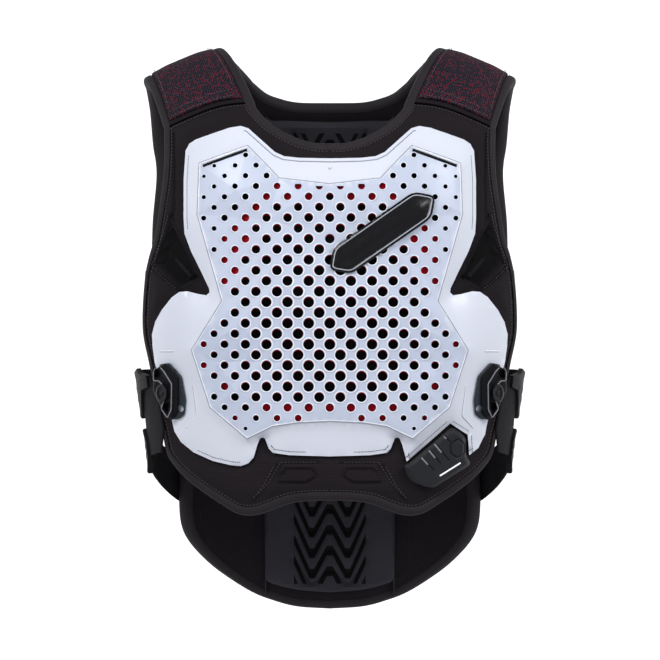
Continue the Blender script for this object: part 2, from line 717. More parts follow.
def thread_finish(name, colour):
    """Sewing thread: two twisted strands."""
    f = Finish(name, Specular_IOR_Level=0.4, Sheen_Weight=0.2)
    twist = f.noise(1500.0, 1.0)
    return f.feed(Base_Color=f.mix(twist, colour, tuple(min(1.0, c * 2.2) for c in colour[:3]) + (1.0,)),
                  Roughness=0.6 + twist * 0.1)


THREAD = thread_finish("dark_thread", rgb(50, 46, 48))
print("soft finishes:", [m.name for m in (TEXTILE, SPINE, BINDING, WEBBING, KNIT, THREAD)])

# %% [markdown]
# ## Finishes of the hard pieces
# The chest plate is moulded in a cool white with a clear gloss and the faint ripple of injection
# moulding. The clips and frames are black nylon with a fine spark grain and an uneven gloss, and
# the buckles' bases are a paler smoky plastic. Grain is noise about a third of a millimetre wide,
# used as a bump and, lightly, in the colour.
# %% Moulded plastics
def moulded(name, dark, light, roughness, grain=0.00012, scale=2600.0, coat=0.0, specular=0.5, **constants):
    """Moulded plastic with a fine grain and slightly uneven gloss."""
    f = Finish(name, Specular_IOR_Level=specular, Coat_Weight=coat, Coat_Roughness=0.08, **constants)
    speck, cloud, rub = f.noise(scale, 2.0), f.noise(22.0, 3.0), f.noise(160.0, 4.0)
    tone = cloud * 0.6 + speck * 0.4
    rough = roughness + (rub.step(0.45, 0.75) - 0.4) * 0.10
    return f.feed(Base_Color=f.mix(tone, dark, light), Roughness=rough, Normal=f.relief(speck, grain, 0.6))


def plate_finish(name):
    """Glossy white plastic: faint ripple, hairline scuffs and a slightly darker inner panel."""
    f = Finish(name, Specular_IOR_Level=0.5, Coat_Weight=0.15, Coat_Roughness=0.12)
    cloud, ripple = f.noise(9.0, 2.0), f.noise(60.0, 2.0)
    stretched = f.node("ShaderNodeMapping", Vector=f.place(), Scale=(1.0, 1.0, 0.12), Rotation=(0.0, 0.6, 0.0))
    scuff = f.noise(700.0, 3.0, stretched).step(0.72, 0.80)
    panel = f.node("ShaderNodeAttribute", {"attribute_name": "panel"}, out=2)
    border = f.mix(cloud, rgb(209, 214, 227), rgb(225, 229, 239))
    colour = f.mix(panel, border, f.mix(cloud, rgb(184, 193, 212), rgb(200, 208, 226)))
    worn = f.mix(scuff * 0.12, colour, rgb(180, 185, 196))
    return f.feed(Base_Color=worn, Roughness=0.36 + cloud * 0.08 + scuff * 0.2,
                  Normal=f.relief(ripple, 0.0003, 0.12))


PLATE = plate_finish("plate_white")
PLATE_EDGE = moulded("plate_edge", rgb(226, 230, 241), rgb(242, 245, 252), 0.22, 0.00003, 900.0, coat=0.3)
GROOVE = moulded("groove_grey", rgb(128, 132, 146), rgb(158, 162, 176), 0.5)
RED = moulded("liner_red", rgb(156, 8, 26), rgb(204, 14, 38), 0.6, 0.0001, 1800.0, specular=0.08)
FOAM = moulded("inner_foam", rgb(9, 10, 12), rgb(24, 25, 30), 0.95, 0.0004, 900.0, specular=0.2)
BLACK = moulded("badge_black", rgb(6, 6, 8), rgb(13, 13, 16), 0.20, 0.00002, 900.0, specular=0.35)
PIPING = moulded("badge_piping", rgb(150, 154, 164), rgb(186, 190, 200), 0.3)
UNIT = moulded("unit_grey", rgb(20, 21, 24), rgb(36, 37, 41), 0.5, specular=0.25)
NYLON = moulded("dark_plastic", rgb(12, 12, 14), rgb(27, 27, 31), 0.56, specular=0.08)
SMOKE = moulded("smoky_plastic", rgb(26, 32, 37), rgb(50, 60, 68), 0.4, specular=0.2)
RIDGE = moulded("buckle_grey", rgb(104, 104, 110), rgb(150, 150, 156), 0.36, specular=0.3)
LAMP = moulded("light_white", rgb(232, 234, 238), rgb(250, 250, 252), 0.35, 0.00002,
               Emission_Color=rgb(235, 240, 250), Emission_Strength=0.25)
print("hard finishes:", [m.name for m in (PLATE, RED, FOAM, BLACK, UNIT, NYLON, SMOKE, RIDGE, LAMP)])

# %% [markdown]
# ## Where the edges run
# The vest's halves are cut along four lines: neckline, shoulder seam, armhole, and the side with
# its hem. The padding, the bound edges and the stitch rows all need those lines, so they are
# drawn once. A half is drawn on the wearer's left and mirrored.
# %% Edge lines of the front and back halves
STRAP_TURNS = np.array((-1.00, -0.77, -0.52, -0.26, 0.00, 0.36, 0.70, 1.00))
STRAP_INNER = np.array((0.407, 0.462, 0.514, 0.557, 0.582, 0.555, 0.500, 0.428))
STRAP_OUTER = np.array((0.816, 0.853, 0.888, 0.917, 0.934, 0.932, 0.927, 0.920))
FRONT_NECKLINE = ((0.000, 0.176), (0.070, 0.1755), (0.178, 0.1655), (0.303, 0.141), (0.385, 0.112))
FRONT_ARMHOLE = ((0.812, 0.184), (0.818, 0.228), (0.836, 0.272), (0.864, 0.328), (0.896, 0.361), (0.918, 0.390))
FRONT_SIDE = (
    (0.930, 0.435), (0.934, 0.476), (0.926, 0.503), (0.900, 0.541), (0.878, 0.579), (0.862, 0.622),
    (0.830, 0.661), (0.807, 0.696), (0.768, 0.715), (0.713, 0.733), (0.624, 0.755), (0.535, 0.774),
    (0.465, 0.788), (0.420, 0.792), (0.366, 0.791), (0.305, 0.784), (0.211, 0.772), (0.113, 0.767),
    (0.000, 0.766),
)
BACK_NECKLINE = ((0.000, 0.0785), (0.172, 0.0775), (0.277, 0.070), (0.355, 0.0595))
BACK_ARMHOLE = ((0.912, 0.150), (0.899, 0.183), (0.898, 0.216), (0.917, 0.285), (0.922, 0.333))
BACK_SIDE = (
    (0.920, 0.414), (0.910, 0.486), (0.885, 0.558), (0.848, 0.629), (0.805, 0.692), (0.781, 0.728),
    (0.777, 0.764), (0.778, 0.800), (0.768, 0.835), (0.732, 0.863), (0.645, 0.897), (0.540, 0.926),
    (0.405, 0.955), (0.295, 0.970), (0.172, 0.981), (0.000, 0.985),
)
SEAM_GAP = 0.0009


def strap_edge(turn, which):
    """Across position of the shoulder strap's inner or outer edge."""
    return HALF_WIDTH * smooth_values(STRAP_TURNS, STRAP_INNER if which == "inner" else STRAP_OUTER, turn)


def strap_angle(turn):
    """The turn in radians of a share of the way to the front or back seam."""
    return turn * np.where(np.asarray(turn) < 0, FRONT_SEAM, BACK_SEAM)


def seam_line(front, count=24):
    """The shoulder seam in front view, from the neck to the arm."""
    turn = -1.0 if front else 1.0
    x = np.linspace(strap_edge(turn, "inner"), strap_edge(turn, "outer"), count)
    arch = FRONT_ARCH if front else BACK_ARCH
    return list(zip(x, crest_height(x) - arch * (1 - math.cos(float(strap_angle(turn))))))


EDGE_STEP = 0.004


def edge_runs(front):
    """Neckline, seam, armhole and side of the front or back half, as front-view points."""
    seam = seam_line(front)
    neck, arm, side = ((FRONT_NECKLINE, FRONT_ARMHOLE, FRONT_SIDE) if front
                       else (BACK_NECKLINE, BACK_ARMHOLE, BACK_SIDE))
    return (curve_through(sized(neck) + [seam[0]], EDGE_STEP), seam,
            curve_through([seam[-1]] + sized(arm), EDGE_STEP),
            curve_through(sized(arm[-1:] + side), EDGE_STEP))


def pad_outline(runs):
    """The closed outline of the padded front or back, a clearance below its seam."""
    neck, seam, arm, side = runs
    return mirrored(neck[:-1] + [(x, z - SEAM_GAP) for x, z in seam] + arm[1:-1] + side)


FRONT_RUNS, BACK_RUNS = edge_runs(True), edge_runs(False)
print("front outline points:", len(pad_outline(FRONT_RUNS)), "back:", len(pad_outline(BACK_RUNS)))

# %% [markdown]
# ## The padded front
# Behind the plate sits a padded wall 12 mm thick. Its rim is rolled over, a seam runs beside the
# armhole, and at each armpit a triangular pocket is pressed in with a small raised pad in it. The
# wall is one dense mesh, and its height is a sum of small rules: a rolled edge, a groove for each
# seam, a hollow for each pocket. Two lozenges stand on the hem between sewn grooves. Seams stay
# sharp because mesh lines run along them.
# %% Rules for seams and hollows
def mirrored_lines(lines):
    """Lines and their mirror on the other side."""
    return [list(line) for line in lines] + [on_side(line, -1) for line in lines]


def groove(points, lines, width, depth_m):
    """A sewn groove along lines, as a drop in height."""
    return -depth_m * np.exp(-(edge_distance(points, lines, closed=False) / width) ** 2)


def bump(points, loop, rise, run):
    """A raised or sunk field inside an outline, eased over a run from its edge."""
    inside = is_inside(points, loop)
    gap = edge_distance(points, [loop])
    return np.where(inside, rise * ease(gap, 0, run), 0.0)


def mm(points):
    """Front-view points in millimetres as metres."""
    return [(x * 0.001, z * 0.001) for x, z in points]


PLATE_UPPER = (
    (0.000, 0.195), (0.151, 0.194), (0.226, 0.191), (0.270, 0.184), (0.404, 0.142), (0.442, 0.138),
    (0.499, 0.141), (0.666, 0.160), (0.698, 0.167), (0.717, 0.179), (0.725, 0.230), (0.724, 0.296),
    (0.719, 0.322), (0.686, 0.352), (0.635, 0.387), (0.596, 0.415), (0.593, 0.422), (0.609, 0.427),
    (0.647, 0.425), (0.705, 0.420), (0.745, 0.421), (0.784, 0.430), (0.837, 0.452), (0.871, 0.472),
    (0.888, 0.493), (0.886, 0.513), (0.875, 0.542), (0.848, 0.572), (0.811, 0.615), (0.785, 0.643),
)
PLATE_LOBE = (
    (0.773, 0.660), (0.740, 0.678), (0.675, 0.695), (0.578, 0.709), (0.483, 0.716), (0.438, 0.717),
    (0.401, 0.712), (0.375, 0.702),
)
PLATE_LOBE_CUT = (
    (0.773, 0.665), (0.738, 0.688), (0.692, 0.700), (0.684, 0.665), (0.595, 0.645), (0.379, 0.709),
)
PLATE_NOTCH = (
    (0.356, 0.680), (0.344, 0.670), (0.331, 0.668), (0.319, 0.670), (0.300, 0.687), (0.281, 0.694),
    (0.199, 0.698), (0.000, 0.700),
)
PANEL_EDGE = (
    (0, 0.239), (0.248, 0.229), (0.404, 0.173), (0.646, 0.202), (0.654, 0.290), (0.531, 0.437),
    (0.683, 0.520), (0.591, 0.617), (0.407, 0.670), (0.281, 0.649), (0.165, 0.643), (0, 0.640),
)
PLATE_LINE = both_sides(PLATE_UPPER + PLATE_LOBE_CUT + PLATE_NOTCH, PLATE_UPPER + PLATE_LOBE + PLATE_NOTCH)
PANEL_LINE = both_sides(PANEL_EDGE)
PLATE_GAP, PLATE_WALL, PANEL_RISE, PANEL_CROWN, CROWN_RUN = 0.0010, 0.003, 0.0080, 0.0015, 0.040
FRONT_WALL, BACK_WALL, SHOULDER_WALL = 0.012, 0.013, 0.012
PAD_EDGE = (0.0035, 0.0022)

RIDGE_LINE = mm([(150, -82), (149.3, -88), (147.9, -127), (148.3, -166)])
POCKET = mm([(151, -164), (156, -178), (160.4, -189), (167, -207), (144, -232), (122, -222), (129, -208), (138, -190)])
POCKET_SEAM = mm([(151, -160), (156, -178), (160.4, -189), (168, -208), (168.5, -210.8), (143.5, -233), (140, -236)])
POCKET_PAD = mm([(139, -199), (146, -211), (132, -225), (124, -217)])
HEM_LOZENGE = mm([(51, -414), (41, -402), (17, -402), (12, -408), (20.7, -414)])
HEM_GROOVES = [mm([(49.6, -398), (60, -418), (72, -433)]), mm([(9, -396), (44, -396), (56, -416), (66, -427)])]

front_outline = pad_outline(FRONT_RUNS)
front_lines = mirrored_lines([RIDGE_LINE, POCKET_SEAM] + HEM_GROOVES)


def front_height(flat):
    """Height of the padded front above the torso surface."""
    gap = edge_distance(flat, [front_outline])
    plate_gap = np.where(is_inside(flat, PLATE_LINE), 0.0, edge_distance(flat, [PLATE_LINE]))
    puff = 0.0022 * ease(gap, 0.002, 0.016) * ease(plate_gap, 0.001, 0.010)
    h = rolled(gap, *PAD_EDGE) + puff
    h += groove(flat, mirrored_lines([RIDGE_LINE]), 0.0016, 0.0014)
    h += groove(flat, mirrored_lines([POCKET_SEAM]), 0.0014, 0.0026)
    h += groove(flat, mirrored_lines(HEM_GROOVES), 0.0017, 0.0022)
    for side in (1, -1):
        lozenge = on_side(HEM_LOZENGE, side)
        h += bump(flat, on_side(POCKET, side), -0.0070, 0.0045)
        h += bump(flat, on_side(POCKET_PAD, side), 0.0030, 0.0035)
        h += groove(flat, [lozenge + lozenge[:1]], 0.0012, 0.0018)
        h += bump(flat, lozenge, 0.0016, 0.0025)
    return h


def ribbed_band(flat):
    """Where the lower front is woven in fine ribs: 0 to 1."""
    low = -0.384 - 0.10 * np.maximum(np.abs(flat[:, 0]) - 0.05, 0)
    return (1 - ease(flat[:, 1], low - 0.004, low)) * ease(flat[:, 1], -0.424, -0.418)


def seam_shade(flat):
    """Darker cloth in the pocket and down in the seams."""
    lines = edge_distance(flat, mirrored_lines([POCKET_SEAM, RIDGE_LINE]), closed=False)
    pocket = sum(bump(flat, on_side(POCKET, side), 0.85, 0.004) for side in (1, -1))
    return np.clip(0.8 * np.exp(-(lines / 0.0012) ** 2) + pocket, 0, 1)


front_lines += mirrored_lines([POCKET + POCKET[:1], HEM_LOZENGE + HEM_LOZENGE[:1]])
front_padding = wall("front_padding", front_outline, front_height, -FRONT_WALL, TEXTILE, cell=0.0030,
                     lines=front_lines, marks={"ribbed": ribbed_band, "sunk": seam_shade})
finished(front_padding, "padded_textile", "front_pad")

# %% [markdown]
# ## The padded back
# The back carries the same textile. A tall centre field over the spine stands proud and is sewn
# across into short ribs, as a flexing back protector is, and two seams run beside it down to the
# rounded tail. Its inside is lined, and a grooved pad runs down the spine there.
# %% Back padding
BACK_FIELD = both_sides((
    (0.00, 0.170), (0.24, 0.175), (0.33, 0.205), (0.36, 0.300), (0.34, 0.520), (0.38, 0.720),
    (0.34, 0.830), (0.20, 0.880), (0.00, 0.890)))
BACK_RIBS = [[(-0.064, z), (-0.03, z - 0.006), (0, z - 0.009), (0.03, z - 0.006), (0.064, z)]
             for z in np.arange(-0.130, -0.470, -0.034)]
BACK_SEAMS = mirrored_lines([
    mm([(92, -60), (96, -130), (104, -220), (102, -300), (96, -380), (90, -440), (70, -500)]),
    mm([(168, -180), (140, -215), (106, -240)])])
back_outline = pad_outline(BACK_RUNS)


def back_height(flat):
    """Height of the padded back above the torso surface."""
    gap = edge_distance(flat, [back_outline])
    h = rolled(gap, *PAD_EDGE) + 0.0020 * ease(gap, 0.002, 0.018)
    field = bump(flat, BACK_FIELD, 0.0026, 0.007)
    ribs = groove(flat, BACK_RIBS, 0.0022, 0.0022) * is_inside(flat, BACK_FIELD)
    return h + field + ribs + groove(flat, BACK_SEAMS, 0.0016, 0.0014)


back_padding = wall("back_padding", back_outline, back_height, -BACK_WALL, TEXTILE, cell=0.0044, front=False,
                    lines=BACK_SEAMS + BACK_RIBS)
finished(back_padding, "padded_textile", "back_pad")

# %% Spine pad with its chevron grooves
SPINE_EDGE = ((0.000, 0.095), (0.300, 0.093), (0.352, 0.104), (0.356, 0.350), (0.356, 0.922),
              (0.350, 0.936), (0.330, 0.945), (0.180, 0.958), (0.000, 0.9630))
SPINE_GAP, SPINE_WALL = 0.0013, 0.007
spine_outline = mirrored(curve_through(sized(SPINE_EDGE), EDGE_STEP))
CHEVRON = ((-37.5, 12), (-21, -23.5), (-16, -23.5), (-3, 0), (3, 0), (16, -23.5), (21, -23.5), (37.5, 12))
CHEVRON_COUNT, CHEVRON_LOWEST = 22, -526
CHEVRONS = [mm([(x, max(CHEVRON_LAST + CHEVRON_PITCH * i + z, CHEVRON_LOWEST)) for x, z in CHEVRON])
            for i in range(CHEVRON_COUNT)]


def spine_floor(flat):
    """Depth of the spine pad's inner face, with its chevron grooves."""
    gap = edge_distance(flat, [spine_outline])
    low = -BACK_WALL - SPINE_GAP - SPINE_WALL
    return low - rolled(gap, 0.004, 0.0030) - groove(flat, CHEVRONS, 0.0026, 0.0030)


spine = wall("spine_padding", spine_outline, -BACK_WALL - SPINE_GAP, spine_floor, SPINE, cell=0.0036, front=False,
             lines=CHEVRONS)
finished(spine, "spine_foam", "spine_pad")

# %% [markdown]
# ## Shoulders
# A padded strap crosses each shoulder, and a knitted panel is sewn on top. The strap is a loft:
# cross sections are laid from seam to seam, and joined. The knit is a thin sheet on it, whose own
# flat pattern is stored in metres so that its pores keep their pitch over the bend.
# %% Padded shoulder straps and their knitted panels
MESH_MARGIN, MESH_WALL, CLEARANCE = 0.0045, 0.0016, 0.0004
SHOULDER_ROWS, SHOULDER_COLUMNS = 61, 33


def shoulder_rows(margin, top, floor, puff, side):
    """Rows of points and flat coordinates of a band over one shoulder."""
    turns = np.linspace(-1, 1, SHOULDER_ROWS)
    if margin:
        turns = turns[1:-1]
    shares = 0.5 - 0.5 * np.cos(np.linspace(0, math.pi, SHOULDER_COLUMNS))
    rows, maps, run, last = [], [], 0.0, None
    for turn in turns:
        x_in, x_out = strap_edge(turn, "inner") + margin, strap_edge(turn, "outer") - margin
        x = x_in + (x_out - x_in) * shares
        base, normal = lay_shoulder(x, float(strap_angle(turn)))
        edge = np.minimum(x - x_in, x_out - x)
        end = min(1.0, (1 - abs(turn)) * 0.12 / 0.008) if not margin else 1.0
        rise = rolled(edge, 0.0035, 0.0018 if not margin else 0.0008) + puff * ease(edge, 0.001, 0.016) * end
        up = base + normal * (top + rise)[:, None]
        down = base + normal * floor
        flip = np.array((side, 1, 1))
        rows.append(np.concatenate([up, down[::-1]]) * flip)
        middle = base[len(base) // 2]
        run += 0.0 if last is None else float(np.linalg.norm(middle - last))
        last = middle
        there = np.stack([run_along(base), np.full(len(x), run)], 1)
        maps.append(np.concatenate([there, there[::-1]]))
    return rows, maps


for side, word in SIDES:
    rows, maps = shoulder_rows(0.0, 0.0, -SHOULDER_WALL, 0.0, side)
    strap = loft("shoulder_padding_" + word, rows, TEXTILE, uv=maps)
    finished(strap, "padded_textile", "shoulder_pad_" + word)
    rows, maps = shoulder_rows(MESH_MARGIN, CLEARANCE + MESH_WALL, CLEARANCE, 0.0012, side)
    knit = loft("shoulder_knit_" + word, rows, KNIT, uv=maps)
    finished(knit, "shoulder_knit", "shoulder_mesh_" + word)
    flat = np.asarray(maps)[:, :SHOULDER_COLUMNS]
    runs, wide = flat[:, 0, 1], flat[:, -1, 0]
    area = float(np.sum((wide[1:] + wide[:-1]) / 2 * np.diff(runs)))

# %% [markdown]
# ## Bound edges
# Every cut edge is wrapped in tape. Each binding is a loft of a rounded section along the edge:
# the section stands square to the path, starts on the padding's face and closes on its back. The
# flat pattern's first coordinate runs along the tape, so its ribs lie across it.
# %% Lofted tape along an edge
BINDING_WIDTH, BINDING_PROUD, BINDING_GAP = 0.005, 0.0008, 0.00095
LAP = END_REACH = 0.0030
ARC = np.linspace(-math.pi / 2, math.pi / 2, 11)


def outward(points, normals, closed):
    """Directions square to a path and to its normals."""
    before, after = np.roll(points, 1, axis=0), np.roll(points, -1, axis=0)
    if not closed:
        before[0], after[-1] = points[0], points[-1]
    return unit(np.cross(after - before, normals))


def binding(name, path, wall_m, closed, *nodes):
    """Tape folded over an edge given as (points, normals), with the padding on its left."""
    points, normals = path
    if not closed:
        first = points[0] + unit(points[0] - points[1]) * END_REACH
        last = points[-1] + unit(points[-1] - points[-2]) * END_REACH
        points = np.concatenate([[first], points, [last]])
        normals = np.concatenate([normals[:1], normals, normals[-1:]])
    out, rows, maps = outward(points, normals, closed), [], []
    half = wall_m / 2 + BINDING_PROUD
    reach = BINDING_GAP + BINDING_WIDTH
    skin = [(reach * max(0.0, math.cos(a)) ** 0.65, -half * math.sin(a)) for a in ARC]
    start = [(-LAP, half - 0.0007), (-LAP * 0.8, half - 0.0001)]
    core = [(share_out * 0.72 - 0.0004, rise * 0.82) for share_out, rise in skin[::-1]]
    section = start + skin + [(reach, -rise) for reach, rise in start[::-1]] + core
    across = run_along(np.array(section))
    for p, n, o, run in zip(points, normals, out, run_along(points)):
        middle = p - n * wall_m / 2
        rows.append(np.array([middle + o * a + n * b for a, b in section]))
        maps.append(np.stack([np.full(len(across), run), across], 1))
    tape_piece = loft(name, rows, BINDING, closed, maps, 60)
    return finished(tape_piece, "binding", *nodes)


def back_along(path):
    """A path run the other way."""
    return path[0][::-1], path[1][::-1]


def mirror_path(path):
    """A path on the other side, run the other way."""
    flip = np.array((-1.0, 1.0, 1.0))
    return path[0][::-1] * flip, path[1][::-1] * flip


def joined(*paths):
    """Paths joined end to end."""
    return np.concatenate([p[0] for p in paths]), np.concatenate([p[1] for p in paths])


front_neck, _, front_arm, front_side = FRONT_RUNS
back_neck, _, back_arm, back_side = BACK_RUNS
strap_turns = np.linspace(-1, 1, 61)[1:-1]
inner = lay_shoulder(strap_edge(strap_turns, "inner"), strap_angle(strap_turns))
outer = lay_shoulder(strap_edge(strap_turns, "outer"), strap_angle(strap_turns))
half_neck = joined(lay(front_neck), inner, back_along(lay(back_neck, False)))
NECK_PATH = back_along(joined(half_neck, tuple(a[1:-1] for a in mirror_path(half_neck))))
binding("neck_tape", NECK_PATH, FRONT_WALL, True, "neck_binding")
arm_front, arm_back = lay(front_arm[::-1][1:]), lay(back_arm[:-1], False)
ARM_PATH = joined(arm_front, outer, arm_back)
binding("arm_tape_left", ARM_PATH, FRONT_WALL, False, "arm_binding_left")
binding("arm_tape_right", mirror_path(ARM_PATH), FRONT_WALL, False, "arm_binding_right")
front_hem = lay(front_side)
HEM_PATH = joined(tuple(a[:-1] for a in back_along(mirror_path(front_hem))), back_along(front_hem))
binding("front_hem_tape", HEM_PATH, FRONT_WALL, False, "front_hem")
tail = lay(back_side, False)
TAIL_PATH = joined(tail, tuple(a[1:] for a in mirror_path(tail)))
binding("tail_tape", TAIL_PATH, BACK_WALL, False, "back_hem")

# %% [markdown]
# ## The drilled chest plate
# The plate is one moulding 3 mm thick. Its border slopes up from a thin rim to a raised inner
# panel, which is pressed in shallow facets and drilled on a staggered lattice: small holes near
# the panel's edge and large ones in the middle. The mesh is cut to round holes directly, so that
# the white walls show inside each one, and a ring from the node tree gives each hole its soft lip.
# %% Heights of the plate and its lattice of holes
HOLE_PITCH, HOLE_TOP, FIRST_ROW = 0.0099, 0.145, -4
ROW_LARGEST = np.array((
    3.0, 3.1, 3.3, 3.6, 3.9, 4.3, 4.6, 4.8, 5.0, 5.2, 5.35, 5.45, 5.5, 5.6, 5.7, 5.7, 5.75, 5.75, 5.75, 5.7, 5.7,
    5.6, 5.45, 5.2, 4.3, 3.45, 2.3,
))
ROW_LAST = (8, 11, 12, 11, 12, 11, 12, 11, 10, 11, 10, 9, 10, 9, 8, 9, 10, 11, 12, 11, 12, 11, 10, 11, 10, 9, 8)
ROW_FIRST = {-4: 8, -3: 7, -2: 6, 21: 3, 22: 8}
HOLE_UNIT, HOLE_SIDES, WHOLE = 0.00094, 20, 1.0
PLATE_RIM = PLATE_GAP + PLATE_WALL
FACETS = np.array((
    (0.00, 0.239, 0.0), (0.248, 0.229, 0.0), (0.404, 0.173, 0.0), (0.646, 0.202, 0.0), (0.654, 0.290, 0.0),
    (0.531, 0.437, 0.0), (0.683, 0.520, 0.0), (0.591, 0.617, 0.0), (0.407, 0.670, 0.0), (0.165, 0.643, 0.0),
    (0.00, 0.640, 0.0), (0.00, 0.330, -1.5), (0.30, 0.300, -0.6), (0.46, 0.250, 2.2), (0.26, 0.410, 2.3),
    (0.00, 0.440, 2.6), (0.44, 0.480, 2.4), (0.22, 0.540, -0.2), (0.46, 0.590, 2.0), (0.13, 0.262, 1.6),
    (0.00, 0.590, 1.6), (0.56, 0.540, -0.4),
))
BADGE_LENGTH, BADGE_HEIGHT, BADGE_WALL, BADGE_GAP = 0.122, 0.030, 0.0030, 0.0008
BADGE_TURN, BADGE_SPOT = math.radians(35), (0.258 * HALF_WIDTH, -0.322 * LENGTH)
BADGE_END = BADGE_LENGTH / 2
FACET_SPOTS = np.concatenate([FACETS, FACETS[FACETS[:, 0] > 0] * (-1, 1, 1)]) * (HALF_WIDTH, -LENGTH, 0.0017)
FACET_TRIS = delaunay_2d_cdt([Vector(p) for p in FACET_SPOTS[:, :2]], [], [], 0, 1e-6)[2]
FACET_SIDES = {tuple(sorted((t[i], t[i - 1]))) for t in FACET_TRIS for i in range(3)}
FACET_FOLDS = []
for a, b in FACET_SIDES:
    middle = [(FACET_SPOTS[a, :2] + FACET_SPOTS[b, :2]) / 2]
    if is_inside(middle, PANEL_LINE)[0] and edge_distance(middle, [PANEL_LINE])[0] > 0.003:
        FACET_FOLDS.append([tuple(FACET_SPOTS[a, :2]), tuple(FACET_SPOTS[b, :2])])


def turned(spot, angle, outline):
    """An outline turned about its own origin and moved to a spot."""
    c, s = math.cos(angle), math.sin(angle)
    return [(spot[0] + u * c - v * s, spot[1] + u * s + v * c) for u, v in outline]


BADGE_AXIS = turned(BADGE_SPOT, BADGE_TURN, ((-BADGE_END, 0), (0, 0), (BADGE_END, 0)))


def facet_rise(flat):
    """Shallow triangular facets of the raised panel."""
    rise = np.zeros(len(flat))
    for tri in FACET_TRIS:
        a, b, c = FACET_SPOTS[list(tri)]
        w = np.linalg.solve(np.array([b[:2] - a[:2], c[:2] - a[:2]]).T, (flat - a[:2]).T)
        own = (w[0] >= -1e-6) & (w[1] >= -1e-6) & (w.sum(axis=0) <= 1 + 1e-6)
        rise[own] = (a[2] + w[0] * (b[2] - a[2]) + w[1] * (c[2] - a[2]))[own]
    near = 1 - ease(edge_distance(flat, [BADGE_AXIS], closed=False), 0.016, 0.040)
    return rise + near * (np.minimum(rise, PANEL_CROWN - 0.0002) - rise)


def plate_height(flat, facets=True):
    """Height of the plate's outer face above the padding's surface."""
    flat = np.asarray(flat, float)
    in_panel, in_plate = is_inside(flat, PANEL_LINE), is_inside(flat, PLATE_LINE)
    to_crease, to_rim = edge_distance(flat, [PANEL_LINE]), edge_distance(flat, [PLATE_LINE])
    crown = facet_rise(flat) if facets else PANEL_CROWN * np.minimum(to_crease / CROWN_RUN, 1.0)
    panel = PLATE_RIM + PANEL_RISE + crown
    share = to_rim / np.maximum(to_rim + to_crease, 1e-6)
    border = PLATE_RIM + PANEL_RISE * share * (0.64 + 0.36 * np.exp(-to_crease / 0.0035))
    lip = 0.0007 * (1 - ease(to_rim, 0.0022, 0.0034)) - 0.0005 * np.exp(-((to_rim - 0.0042) / 0.0007) ** 2)
    edge = rolled(to_rim, 0.0018, 0.0016)
    h = np.where(in_panel, panel, np.where(in_plate, border + lip + edge, PLATE_RIM))
    return h + np.where(in_panel, -0.0006, 0.0) * np.exp(-(to_crease / 0.0016) ** 2)


def hole_radius(row, k):
    """Radius of a hole: the row's largest, less towards the sides, and less still above the waist."""
    largest = ROW_LARGEST[row - FIRST_ROW]
    narrow = 1.3 if 3 <= row <= 8 else 1.0
    fall = np.interp(abs(k), (0, 2, 4, 6, 8, 10, 12), (0.0, 0.05, 0.2, 0.45, 0.95, 1.7, 2.6))
    fall *= narrow * largest / 5.7
    return (largest - fall) * HOLE_UNIT


def lattice():
    """The panel's holes: row, place in the row, x, z, radius, and the height at which each is cut."""
    holes = []
    for row, last in enumerate(ROW_LAST, FIRST_ROW):
        for k in range(-last, last + 1, 2):
            if abs(k) < ROW_FIRST.get(row, 0):
                continue
            z = -HOLE_TOP - row * HOLE_PITCH
            top = z + (abs(k) - 1) * 0.00105 if row == -1 and abs(k) <= 3 else WHOLE
            holes.append((row, k, k * HOLE_PITCH, z, hole_radius(row, k), top))
    return holes


HOLES = lattice()
print("holes:", len(HOLES), "radii in mm from", round(min(h[4] for h in HOLES) * 1000, 2), "to",
      round(max(h[4] for h in HOLES) * 1000, 2))

# %% Cut the plate
plate = wall("chest_plate", PLATE_LINE, plate_height, lambda p: plate_height(p, False) - PLATE_WALL, PLATE,
             cell=0.0046, holes=[(x, z, r, HOLE_SIDES, top) for _, _, x, z, r, top in HOLES],
             creases=[PANEL_LINE, inset(PANEL_LINE, -0.0010)], folds=FACET_FOLDS, straight=True, smooth=32,
             marks={"panel": lambda p: is_inside(p, PANEL_LINE) * 1.0})
finished(plate, "plate_white", "front_plate")

# %% Lips round the holes, a bright rim bead and the two vents
LIP_REACH, LIP_THICK, BEAD_SIDES, LINE_STEP = 0.0005, 0.15, 8, 0.003
ROUND_HOLES = [h for h in HOLES if h[5] == WHOLE]
HOLE_FLAT = np.array([h[2:4] for h in ROUND_HOLES])


def on_plate(flat):
    """Points on the plate's face."""
    base_points, n = lay(flat)
    return base_points + straight_out(n) * plate_height(flat)[:, None]


def plate_normals(flat, step=0.0006):
    """Normals of the plate's face from its own slope."""
    right = on_plate(flat + (step, 0)) - on_plate(flat - (step, 0))
    up = on_plate(flat + (0, step)) - on_plate(flat - (0, step))
    return unit(np.cross(right, up))


base, normals = lay(HOLE_FLAT)
lip_points = base + straight_out(normals) * (plate_height(HOLE_FLAT) + 0.00005)[:, None]
lips = repeated("hole_lips", "ring", lip_points, np.tile((1.0, 0.0, 0.0), (len(ROUND_HOLES), 1)),
                plate_normals(HOLE_FLAT), [h[4] + LIP_REACH for h in ROUND_HOLES], 1.0, LIP_THICK, 1.0, PLATE_EDGE)
finished(lips, "plate_white")


UNIT_EDGE = ((0.601, 0.651), (0.637, 0.658), (0.673, 0.670), (0.674, 0.700), (0.700, 0.715), (0.512, 0.754),
             (0.473, 0.752), (0.406, 0.743), (0.378, 0.730), (0.364, 0.716), (0.390, 0.712))


